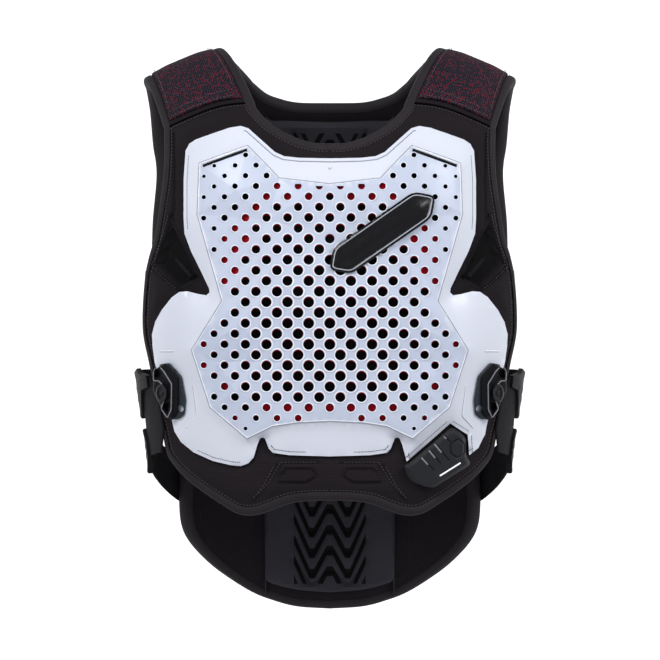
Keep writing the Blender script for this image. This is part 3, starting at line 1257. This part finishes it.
def seat_on(piece, lift):
    """Heights that put a front-view line on a finished face, found by rays from the front."""
    mesh = piece.data
    tree = BVHTree.FromPolygons([v.co for v in mesh.vertices], [p.vertices for p in mesh.polygons])

    def height(line):
        base_points, n = lay(line)
        hits = [tree.ray_cast(Vector((x, -1, z)), Vector((0, 1, 0)))[0] for x, z in line]
        return np.array([lift + ((hit.y if hit else b[1]) - b[1]) * m[1] for hit, b, m in zip(hits, base_points, n)])
    return height


def bead(name, line, seat, radius, paint, slot, closed=False, lift=0.0):
    """A thin round bead along a front-view line, seated on a finished piece."""
    line = np.asarray(line, float)
    base_points, n = lay(line)
    points = base_points + straight_out(n) * seat_on(seat, lift)(line)[:, None]
    out, turns = outward(points, n, closed), circle(BEAD_SIDES)
    rows = [[p + radius * (o * math.cos(t) + m * math.sin(t)) for t in turns] for p, o, m in zip(points, out, n)]
    maps = [[(run, t * radius) for t in turns] for run in run_along(points)]
    return finished(loft(name, rows, paint, closed, maps, 60), slot)


VENT, VENT_BROW = mm([(78.0, -100.6), (119.5, -115.2)]), 0.0027
for side, word in SIDES:
    line = even_steps(on_side(VENT, side), LINE_STEP)
    bead("plate_vent_" + word, line, plate, 0.0014, FOAM, "liner_red", lift=0.0001)
    bead("vent_brow_" + word, [(x, z + VENT_BROW) for x, z in line], plate, 0.0013, PLATE_EDGE, "plate_white")
panel_line = divided([tuple(p) for p in PANEL_LINE], LINE_STEP)
bead("panel_groove", panel_line, plate, 0.00038, GROOVE, "plate_white", closed=True)
bead("panel_edge", inset(panel_line, 0.0009), plate, 0.0005, PLATE_EDGE, "plate_white", closed=True)
MARKS = [mm([(147.5, -290.2), (161.5, -290.3)]), mm([(129.0, -322.4), (125.3, -350.9), (136.1, -362.5)])]
for i, line in enumerate(mirrored_lines(MARKS), 1):
    line = np.array(even_steps(line, LINE_STEP))
    bead(f"plate_crease_{i}", line, plate, 0.0007, PLATE_EDGE, "plate_white", lift=-0.0002)
    bead(f"plate_fold_{i}", line - (0.0006, 0.0007), plate, 0.0004, GROOVE, "plate_white", lift=-0.0001)
rim_line = np.array(inset(divided([tuple(p) for p in PLATE_LINE], 0.0017), 0.0034))
plate_neck = rim_line[(np.abs(rim_line[:, 0]) < 0.082) & (rim_line[:, 1] > -0.2)]
plate_neck = plate_neck[np.argsort(plate_neck[:, 0])]
bead("neck_groove", plate_neck, plate, 0.00055, GROOVE, "plate_white", lift=0.0001)
bead("neck_notch", mm([(-1.7, -117.4), (0.0, -119.2), (1.7, -117.4)]), plate, 0.0004, GROOVE, "plate_white")


def dashed(spots):
    """Where dark dashes show along the rim: upper sides, neck corners, lower border and the unit's notch."""
    x, z = np.abs(spots[:, 0]), spots[:, 1]
    side = (x > 0.125) & (z > -0.175) & (z < -0.104)
    neck = (x > 0.055) & (x < 0.080) & (z > -0.102)
    low = ((x > 0.022) & (x < 0.055) | (x > 0.085) & (x < 0.125) & (spots[:, 0] < 0)) & (z < -0.36)
    notch = (spots[:, 0] > 0.05) & (edge_distance(spots, [rounded(sized(UNIT_EDGE), 0.004, 4)]) < 0.0075)
    return side | neck | low | notch


shown = dashed(rim_line)
rim_spots = rim_line[shown]
base, normals = lay(rim_spots)
ahead = lay(rim_spots + unit(np.gradient(rim_line, axis=0))[shown] * 0.001)[0]
rim_points = base + straight_out(normals) * seat_on(plate, 0.0001)(rim_spots)[:, None]
dashes = repeated("rim_dashes", "bead", rim_points, unit(ahead - base), normals, 1.0, 0.0013, 0.0008, 0.0005, FOAM)
finished(dashes, "plate_white")
print("rim dashes:", len(rim_spots))

# %% [markdown]
# ## The red under-layer
# Behind the plate lies a red sheet with its own holes, set a little lower than the plate's, so a
# red crescent shows at the top of each large hole. Near the panel's edge the sheet is undrilled
# and the holes there show plain red, and outside it they show the dark padding.
# %% Under-layer with shifted holes
LINER_DROP, LINER_WALL = 0.0008, 0.0014
UNDRILLED = {-1: (1, 3, 5), 0: (2, 4, 6), 1: (7,), 2: (8,), 3: (9,), 4: (8, 10), 5: (9,), 6: (10,), 7: (9,), 8: (10,),
             14: (12,), 16: (12,), 19: (11,), 20: (0, 2, 4, 6), 21: (3, 5, 9)}
LINER_REACH = ((0, -1.7), (5.7, -1.7), (10.9, 3.4), (10.8, 8.6), (9.7, 9.6), (10.2, 11.0), (12.5, 13.2), (12.5, 16.8),
               (11.0, 18.0), (8.0, 19.0), (9.7, 20.6), (9.6, 21.6), (2.4, 21.7), (0, 20.8))
behind = PLATE_GAP + PANEL_RISE - 0.0018
liner_half = [(k * HOLE_PITCH, -HOLE_TOP - row * HOLE_PITCH) for k, row in LINER_REACH]
liner_line = mirrored(liner_half)
liner_holes = [(x, z - LINER_DROP, r * 0.93, 16, 1.0) for row, k, x, z, r, _ in HOLES
               if abs(k) not in UNDRILLED.get(row, ()) and is_inside([(x, z)], liner_line)[0]
               and edge_distance([(x, z)], [liner_line])[0] > r + 0.001]
liner = wall("red_liner", liner_line, behind, behind - LINER_WALL, RED, cell=0.006,
             holes=liner_holes, straight=True)
finished(liner, "liner_red", "plate_liner")
foam = wall("plate_foam", inset(PANEL_LINE, 0.003), behind - 0.0030, 0.0032, FOAM, cell=0.010,
            straight=True)
finished(foam, "padded_textile")

# %% [markdown]
# ## The badge
# A plain long hexagon sits on the plate. Its top is crowned and a thin pale piping runs round it.
# %% Badge body and piping
BADGE_SEAT = PLATE_RIM + PANEL_RISE + PANEL_CROWN + BADGE_GAP
hl, hh = BADGE_END, BADGE_HEIGHT / 2
badge_line = rounded(turned(BADGE_SPOT, BADGE_TURN, (
    (hl, 0), (hl - hh, hh), (hh - hl, hh), (-hl, 0), (hh - hl, -hh), (hl - hh, -hh))), 0.006, 5)


def badge_height(flat):
    """Crowned top with a rolled edge and a step inside it."""
    gap = edge_distance(flat, [badge_line])
    step = 0.0012 * ease(gap, 0.004, 0.014) - 0.0007 * ease(gap, 0.0032, 0.0040)
    return BADGE_SEAT + BADGE_WALL + rolled(gap, 0.0016, 0.0014) + step


badge = wall("badge_body", badge_line, badge_height, BADGE_SEAT - 0.0008, BLACK, cell=0.0022, straight=True,
             creases=[inset(badge_line, 0.0030), inset(badge_line, 0.0041)])
finished(badge, "badge_black", "chest_badge")
piping_line = divided(inset(badge_line, 0.0026), LINE_STEP)
bead("badge_piping", piping_line, badge, 0.00055, PIPING, "light_white", closed=True)

# %% [markdown]
# ## The control unit
# A grey housing fills the gap that is cut from the plate. Four moulded ribs slant across it, a
# six-sided press button sits among them, and a light bar lies along its lower edge.
# %% Housing, ribs, button and light bar
UNIT_GAP, UNIT_HEIGHT, UNIT_BEVEL = 0.0007, 0.0120, 0.0030
unit_line = rounded(sized(UNIT_EDGE), 0.004, 4)
BUTTON_SPOT = (0.630 * HALF_WIDTH, -0.687 * LENGTH)
LIGHT_START, LIGHT_RISE = (0.543 * HALF_WIDTH, -0.7345 * LENGTH), math.radians(31)


def hexagon(centre, radius, squeeze=0.85):
    """A six-sided outline in front view."""
    turns = [math.radians(30 + 60 * i) for i in range(6)]
    return [(centre[0] + radius * squeeze * math.cos(t), centre[1] + radius * math.sin(t)) for t in turns]


def unit_height(flat):
    """The housing's face: bevelled at its edge, dished round the button."""
    gap = edge_distance(flat, [unit_line])
    dish = bump(flat, hexagon(BUTTON_SPOT, 0.0105), -0.0010, 0.0014)
    return UNIT_GAP + UNIT_HEIGHT - UNIT_BEVEL * (1 - ease(gap, 0, UNIT_BEVEL * 1.15)) + dish


unit_body = wall("unit_housing", unit_line, unit_height, UNIT_GAP, UNIT, cell=0.0018, straight=True,
                 creases=[inset(unit_line, 0.0016)])
finished(unit_body, "unit_grey", "control_unit")
button_line = rounded(hexagon(BUTTON_SPOT, 0.0085), 0.002, 4)
button = wall("press_button", button_line,
              lambda p: UNIT_GAP + UNIT_HEIGHT + 0.0006 + rolled(edge_distance(p, [button_line]), 0.0012, 0.0009),
              UNIT_GAP + UNIT_HEIGHT - 0.0012, UNIT, cell=0.0012, straight=True)
finished(button, "dark_plastic", "control_button")
ring_line = rounded(hexagon(BUTTON_SPOT, 0.0092), 0.002, 4)
bead("button_ring", ring_line, unit_body, 0.0004, FOAM, "unit_grey", closed=True)
RIBS = [[(0.555, 0.664), (0.588, 0.676)], [(0.514, 0.679), (0.584, 0.708)],
        [(0.487, 0.690), (0.542, 0.713)], [(0.450, 0.702), (0.508, 0.724)]]
for i, rib in enumerate(RIBS, 1):
    line = np.array(even_steps(sized(rib), 0.0015))
    bead(f"unit_rib_{i}", line[:len(line) // 2 + 1], unit_body, 0.00085, RIDGE, "unit_grey")
    bead(f"unit_gap_{i}", line + (0.0009, 0.0007), unit_body, 0.0006, FOAM, "unit_grey")
bar_line = rounded(turned(LIGHT_START, LIGHT_RISE, ((0, 0), (0.0235, 0), (0.0235, 0.0014), (0, 0.0014))), 0.0006, 3)
bar = wall("light_cover", bar_line, lambda p: unit_height(p) + 0.0006, lambda p: unit_height(p) - 0.0008, LAMP,
           cell=0.0012, straight=True)
finished(bar, "light_white", "light_bar")

# %% [markdown]
# ## Side buckles
# Each side closes with a buckle: a smoky base with a small opening on the plate's edge, a
# six-sided frame with two windows, and a round dial. The frame's ridge catches the light.
# %% Buckle bases, frames and dials
ANCHOR_EDGE = ((0.850, 0.545), (0.794, 0.542), (0.733, 0.564), (0.712, 0.605), (0.720, 0.631), (0.752, 0.639),
               (0.800, 0.639), (0.835, 0.600))
BEAD_EDGE = ((0.878, 0.562), (0.872, 0.549), (0.854, 0.546), (0.824, 0.556), (0.783, 0.578), (0.786, 0.622),
             (0.806, 0.636), (0.838, 0.621), (0.820, 0.603), (0.823, 0.583), (0.849, 0.573), (0.876, 0.573))
FRAME_EDGE = ((0.880, 0.556), (0.816, 0.542), (0.752, 0.564), (0.753, 0.622), (0.784, 0.641), (0.821, 0.633),
              (0.882, 0.590))
WINDOW_UPPER = ((0.871, 0.569), (0.867, 0.552), (0.856, 0.550), (0.832, 0.559), (0.842, 0.569))
WINDOW_LOWER = ((0.830, 0.612), (0.793, 0.608), (0.793, 0.620), (0.807, 0.631), (0.831, 0.620))
ANCHOR_WALL, FRAME_WALL, DIAL_RADIUS, DIAL_HEIGHT, DIAL_GAP = 0.0030, 0.0040, 0.0085, 0.0025, 0.0007
DIAL_SPOT, BASE_HOLE = (0.836, 0.594), (0.1416, -0.3448)


def above_plate(flat):
    """Height that clears the plate and its rim."""
    return np.maximum(plate_height(flat, False), PLATE_RIM)


for side, word in SIDES:
    anchor_line = rounded(sized(ANCHOR_EDGE, side), 0.0020, 3)
    anchor = wall("buckle_base_" + word, anchor_line,
                  lambda p: (above_plate(p) + CLEARANCE + ANCHOR_WALL
                             + rolled(edge_distance(p, [anchor_line]), 0.0018, 0.0014)),
                  lambda p: above_plate(p) + CLEARANCE, SMOKE, cell=0.0024, straight=True,
                  holes=[(side * BASE_HOLE[0], BASE_HOLE[1], 0.0031, 16, WHOLE)])
    finished(anchor, "dark_plastic", "buckle_anchor_" + word)
    frame_line = rounded(sized(FRAME_EDGE, side), 0.0016, 3)
    windows = [rounded(sized(w, side), 0.0015, 3) for w in (WINDOW_UPPER, WINDOW_LOWER)]
    bead_line = rounded(sized(BEAD_EDGE, side), 0.0012, 3)
    floor = 2 * CLEARANCE + ANCHOR_WALL

    def frame_height(p):
        """Ridge near the frame's edge, sunk windows and a flat land for the dial."""
        gap = edge_distance(p, [frame_line])
        ridge = 0.0012 * np.exp(-(edge_distance(p, [bead_line]) / 0.0010) ** 2)
        sunk = sum(bump(p, w, -0.0030, 0.0008) for w in windows)
        return above_plate(p) + floor + FRAME_WALL - 0.0010 + ridge + sunk + rolled(gap, 0.0012, 0.0012)

    ridge_piece = wall("buckle_ridge_" + word, frame_line, frame_height, lambda p: above_plate(p) + floor, NYLON,
                       cell=0.0016, straight=True, creases=windows + [bead_line])
    finished(ridge_piece, "buckle_grey", "buckle_frame_" + word)
    bead("buckle_bead_" + word, divided(bead_line, LINE_STEP), ridge_piece, 0.00055, RIDGE, "buckle_grey", closed=True)
    centre = sized([DIAL_SPOT], side)[0]
    slant = abs(lay([centre])[1][0][1])
    land = above_plate(np.array([centre]))[0] + floor + FRAME_WALL
    dial_line = [(centre[0] + DIAL_RADIUS * slant * math.cos(t), centre[1] + DIAL_RADIUS * math.sin(t))
                 for t in circle(36)]

    def dial_height(p):
        """A dial with a raised rim, a dished face and a round hub."""
        away = np.hypot((p[:, 0] - centre[0]) / slant, p[:, 1] - centre[1])
        rim = -0.0008 * ease(away, 0.0078, 0.0085) - 0.0009 * (1 - ease(away, 0.0052, 0.0060))
        hub = 0.0008 * (1 - ease(away, 0.0022, 0.0028))
        return land + DIAL_GAP + DIAL_HEIGHT + rim + hub

    dial = wall("buckle_knob_" + word, dial_line, dial_height, land - 0.0012, UNIT, cell=0.0009, straight=True)
    finished(dial, "dark_plastic", "buckle_dial_" + word)

# %% [markdown]
# ## Straps and clips at the sides
# Elastic straps come round from the back and end in clips under the buckles. A strap is laid
# directly, as a loft round the torso, because a cloth solver would only blunt its crisp edges.
# %% Lay bands round the side
STRAP_WALL, CLIP_WALL, TAB_WALL = 0.0018, 0.0050, 0.0014
SEAT = BINDING_PROUD + CLEARANCE
OVER = SEAT + STRAP_WALL + CLEARANCE
CLIP_RIBS, CLIP_RIB, CLIP_SUNK = 7, 0.0007, 0.0005
BANDS = {
    "side_strap": ((-50, 0.556, -50, 0.632), (-38, 0.556, -38, 0.632), (-28, 0.556, -28, 0.632),
                   (-18, 0.556, -18, 0.632), (-9, 0.556, -9, 0.632), (0, 0.557, 0, 0.631), (6, 0.560, 6, 0.628)),
    "lower_web": ((9.0, 0.566, 25.0, 0.566), (10.0, 0.590, 29.0, 0.590), (11.0, 0.618, 31.0, 0.622),
                  (11.5, 0.640, 31.5, 0.656), (8.0, 0.668, 27.0, 0.696), (6.0, 0.700, 11.0, 0.705)),
    "kidney_strap": ((5, 0.664, 5, 0.732), (-4, 0.668, -4, 0.741), (-13, 0.678, -13, 0.756), (-22, 0.694, -22, 0.774),
                     (-31, 0.713, -31, 0.792), (-40, 0.732, -40, 0.807), (-49, 0.746, -49, 0.816)),
    "strap_tab": ((-36, 0.782, -36, 0.797), (-42, 0.785, -42, 0.802), (-47, 0.788, -47, 0.806)),
    "upper_clip": ((-1, 0.560, -1, 0.630), (4, 0.556, 4, 0.640), (9, 0.556, 9, 0.640), (13, 0.552, 13, 0.626),
                   (18, 0.560, 18, 0.590), (25, 0.564, 25, 0.584)),
    "lower_clip": ((0, 0.664, 0, 0.732), (4, 0.658, 4, 0.738), (9, 0.658, 9, 0.736), (12, 0.672, 12, 0.716)),
}


def lay_band(name, rows, side, floor, wall_m, paint, ribbed, columns=15):
    """A band round the side through cross lines, with soft edges. A clip is ribbed along it."""
    count = (len(rows) - 1) * 8 + 1
    places = np.linspace(0, len(rows) - 1, count)
    fine = np.stack([np.interp(places, range(len(rows)), column) for column in zip(*rows)], 1)
    shares = 0.5 - 0.5 * np.cos(np.linspace(0, math.pi, columns))
    body, maps, run, last = [], [], 0.0, None
    for upper_turn, upper_down, lower_turn, lower_down in fine:
        turn = upper_turn + (lower_turn - upper_turn) * shares
        z = -LENGTH * (upper_down + (lower_down - upper_down) * shares)
        base_points, n = lay_ring(turn, z, side)
        middle = base_points[columns // 2]
        run += 0.0 if last is None else float(np.linalg.norm(middle - last))
        last = middle
        across = run_along(base_points)
        round_edge = min(wall_m * 0.5, 0.0012)
        rise = wall_m + rolled(np.minimum(across, across[-1] - across), round_edge, round_edge * 0.8)
        if ribbed:
            rise += CLIP_RIB * np.maximum(0, np.sin(across / across[-1] * math.pi * CLIP_RIBS)) ** 2 - CLIP_SUNK
        there = np.stack([np.full(columns, run), across], 1)
        body.append(np.concatenate([base_points + n * (floor + rise)[:, None], (base_points + n * floor)[::-1]]))
        maps.append(np.concatenate([there, there[::-1]]))
    runs, wide = np.array([m[0, 0] for m in maps]), np.array([m[columns - 1, 1] for m in maps])
    area = float(np.sum((wide[1:] + wide[:-1]) / 2 * np.diff(runs)))
    return loft(name, body, paint, uv=maps), (float(wide.max()), float(run)), area


for side, word in SIDES:
    for kind, floor, thick, paint, slot_name in (
        ("side_strap", SEAT, STRAP_WALL, WEBBING, "webbing"),
        ("lower_web", SEAT, STRAP_WALL, WEBBING, "webbing"),
        ("kidney_strap", SEAT, STRAP_WALL, WEBBING, "webbing"),
        ("strap_tab", OVER, TAB_WALL, NYLON, "dark_plastic"),
        ("upper_clip", SEAT, CLIP_WALL, NYLON, "dark_plastic"),
        ("lower_clip", SEAT, CLIP_WALL, NYLON, "dark_plastic"),
    ):
        piece, flat, area = lay_band(f"{kind}_{word}_band", BANDS[kind], side, floor, thick, paint, "clip" in kind)
        finished(piece, slot_name, f"{kind}_{word}")
        if paint is WEBBING:
            print(f"  webbing cut to {flat[0]:.4f} by {flat[1]:.4f} m")

# %% Pocket welts on the padded front
for side, word in SIDES:
    welt = divided(on_side(POCKET, side), LINE_STEP)
    bead("pocket_welt_" + word, welt, front_padding, 0.0007, FOAM, "padded_textile", closed=True, lift=-0.0001)
    pull = even_steps(on_side(mm([(146, -202), (131, -220)]), side), LINE_STEP)
    bead("pocket_pull_" + word, pull, front_padding, 0.0022, FOAM, "padded_textile")

# %% [markdown]
# ## Sewing
# Rows of thread hold the tape, the seams and the knit. A guide point stands where each stitch
# lies, with the seam's direction and the cloth's normal, and the node tree puts a bead of thread
# on each one.
# %% Stitch rows along the seams
STITCH_PITCH, STITCH_LENGTH, STITCH_WIDTH = 0.0034, 0.0024, 0.0007


def stitch_guides(points, normals, lift):
    """Guide points at the stitch pitch along a laid path."""
    runs = run_along(points)
    places = np.arange(STITCH_PITCH, runs[-1] - STITCH_PITCH / 2, STITCH_PITCH)

    def at(values, shift=0.0):
        return np.stack([np.interp(places + shift, runs, column) for column in values.T], 1)

    spot, up = at(points), unit(at(normals))
    return spot + up * lift, unit(at(points, 0.001) - spot), up


def flat_row(line, front, height, lift=0.0002):
    """Stitch guides along a front-view line on the padding."""
    line = np.array(even_steps(line, 0.002))
    base_points, n = lay(line, front)
    return stitch_guides(base_points + n * height(line)[:, None], n, lift)


def offset_line(line, distance):
    """An open line moved to its left."""
    line = np.asarray(line, float)
    way = unit(np.gradient(line, axis=0))
    return line + np.stack([-way[:, 1], way[:, 0]], 1) * distance


def edge_rows(runs, gaps, outline, flip, front, height):
    """Stitch rows along the edges of a pad, each at its gap inside the outline."""
    moved = [offset_line(runs[i], -gap) for i, gap in gaps]
    return [flat_row(line[is_inside(line, outline)] * flip, front, height) for line in moved]


def shoulder_stitches(x, angle, proud):
    """Stitch rows on both shoulders."""
    base_points, n = lay_shoulder(x, angle)
    return [stitch_guides((base_points + n * proud) * flip, n * flip, 0.0002) for flip in ((1, 1, 1), (-1, 1, 1))]


def sewn(name, rows, paint):
    """Beads of thread on rows of stitch guides."""
    spots, ways, ups = (np.concatenate(parts) for parts in zip(*rows))
    print(name, len(spots))
    return finished(repeated(name, "bead", spots, ways, ups, 1.0, STITCH_LENGTH, STITCH_WIDTH, STITCH_WIDTH * 0.7,
                             paint), "padded_textile")


# Gaps inside the edge, by run: 0 the neck, 1 the shoulder seam, 2 the armhole, 3 the side and hem.
FRONT_GAPS = ((0, 0.0035), (3, 0.0045), (2, 0.0045), (1, 0.0030))
BACK_GAPS = ((0, 0.0045), (3, 0.0080), (2, 0.0045), (1, 0.0030))
rows = []
for side in (1, -1):
    flip = np.array((side, 1))
    rows += edge_rows(FRONT_RUNS, FRONT_GAPS, front_outline, flip, True, front_height)
    for line in (POCKET_SEAM, HEM_GROOVES[0], HEM_GROOVES[1]):
        rows.append(flat_row(np.array(line) * flip + (0.0022 * side, 0.0012), True, front_height))
    rows += edge_rows(BACK_RUNS, BACK_GAPS, back_outline, flip, False, back_height)
for turn in (-0.95, -0.90, 0.90, 0.95):
    x = np.linspace(strap_edge(turn, "inner") + 0.007, strap_edge(turn, "outer") - 0.007, 40)
    rows += shoulder_stitches(x, float(strap_angle(turn)), 0.0030)
turns = np.linspace(-0.88, 0.88, 90)
for x in (strap_edge(turns, "inner") + 0.0075, strap_edge(turns, "outer") - 0.0075):
    rows += shoulder_stitches(x, strap_angle(turns), 0.0032)
for line in BACK_SEAMS:
    rows.append(flat_row(np.array(line) + (0.0024, 0), False, back_height))
hidden = []
for side in (1, -1):
    for line in (mm([(83, -100), (83, -300), (83, -512)]), offset_line(BACK_RUNS[3], -0.0100)):
        line = np.array(even_steps(line, LINE_STEP)) * (side, 1)
        line = line[is_inside(line, back_outline)]
        base, n = lay(line, False)
        hidden.append(stitch_guides(base - n * BACK_WALL, -n, 0.0001))
sewn("lining_stitches", hidden, BINDING)
sewn("seam_stitches", rows, THREAD)

# %% [markdown]
# ## Studio
# The vest is shown as it hangs in a catalogue picture: a pale paper floor that rises in a round
# bowl on all sides, wide soft lights in front, above and on the paper behind, and a long lens
# straight in front of the chest.
# %% Floor, lights and camera
def studio_paint():
    """Plain pale paper."""
    f = Finish("studio_paper", Specular_IOR_Level=0.1, Emission_Strength=0.95)
    behind = f.node("ShaderNodeSeparateXYZ", out=1, Vector=f.place()).step(-0.3, 0.5)
    return f.feed(Emission_Color=f.mix(behind, (0.26, 0.26, 0.275, 1.0), (1.0, 1.0, 1.0, 1.0)),
                  Base_Color=f.mix(f.noise(3.0), rgb(150, 150, 152), rgb(158, 158, 160)),
                  Roughness=0.9 + f.noise(4.0) * 0.05)


FLOOR_Z, SWEEP, REACH, TURNS = -0.62, 1.2, 3.6, 64
bowl = [(REACH + SWEEP * math.sin(a), SWEEP * (1 - math.cos(a))) for a in np.linspace(0.15, math.pi / 2, 12)]
profile = [(0.6, 0.0), (REACH, 0.0)] + bowl + [(REACH + SWEEP, 4.0)]
vertices = [(r * math.cos(t), r * math.sin(t), FLOOR_Z + z) for r, z in profile for t in circle(TURNS)]
faces = [(i * TURNS + k, i * TURNS + (k + 1) % TURNS, (i + 1) * TURNS + (k + 1) % TURNS, (i + 1) * TURNS + k)
         for i in range(len(profile) - 1) for k in range(TURNS)] + [tuple(range(TURNS))[::-1]]
paper = bpy.data.meshes.new("studio_paper")
paper.from_pydata(vertices, [], faces)
paper.shade_smooth()
paper.materials.append(studio_paint())
sweep = bpy.data.objects.new("studio_sweep", paper)
scene.collection.objects.link(sweep)

world = bpy.data.worlds.new("studio_air")
world.use_nodes = True
world.node_tree.nodes["Background"].inputs["Color"].default_value = (0.86, 0.91, 1.0, 1.0)
world.node_tree.nodes["Background"].inputs["Strength"].default_value = 0.24
scene.world = world


def soft_light(name, place, target, width, height, power):
    """A large soft light that faces a point."""
    data = bpy.data.lights.new(name, "AREA")
    data.shape, data.size, data.size_y = "RECTANGLE", width, height
    data.energy = power
    lamp = bpy.data.objects.new(name, data)
    lamp.location = place
    lamp.rotation_mode = "QUATERNION"
    lamp.rotation_quaternion = (Vector(target) - Vector(place)).to_track_quat("-Z", "Y")
    scene.collection.objects.link(lamp)
    return lamp


soft_light("key_light", (-0.8, -1.4, 0.7), (0, 0, -0.25), 0.7, 0.7, 17)
soft_light("right_light", (1.2, -1.2, 0.6), (0, 0, -0.25), 0.7, 0.7, 14)
soft_light("top_light", (0.0, -0.3, 1.5), (0, 0, -0.2), 1.6, 1.0, 2.5)
soft_light("wall_light_left", (-1.6, 0.9, 1.4), (0, 4.0, 0.2), 1.0, 1.0, 18)
soft_light("wall_light_right", (1.6, 0.9, 1.4), (0, 4.0, 0.2), 1.0, 1.0, 18)

FOCUS_PIXELS, PHOTO_SIDE, PHOTO_MIDDLE, SENSOR = 3052.6, 660, 329.8, 36.0
camera_data = bpy.data.cameras.new("catalogue_camera")
camera_data.sensor_width = SENSOR
camera_data.lens = SENSOR * FOCUS_PIXELS / PHOTO_SIDE
camera_data.shift_x = (PHOTO_SIDE / 2 - PHOTO_MIDDLE) / PHOTO_SIDE
camera_data.clip_start, camera_data.clip_end = 0.1, 30.0
camera = bpy.data.objects.new("catalogue_camera", camera_data)
camera.location = (0.0, -3.0, -0.2702)
camera.rotation_euler = (math.pi / 2, 0.0, 0.0)
scene.collection.objects.link(camera)
scene.camera = camera
scene.view_settings.view_transform = "Standard"
print("camera lens:", round(camera_data.lens, 1), "mm")
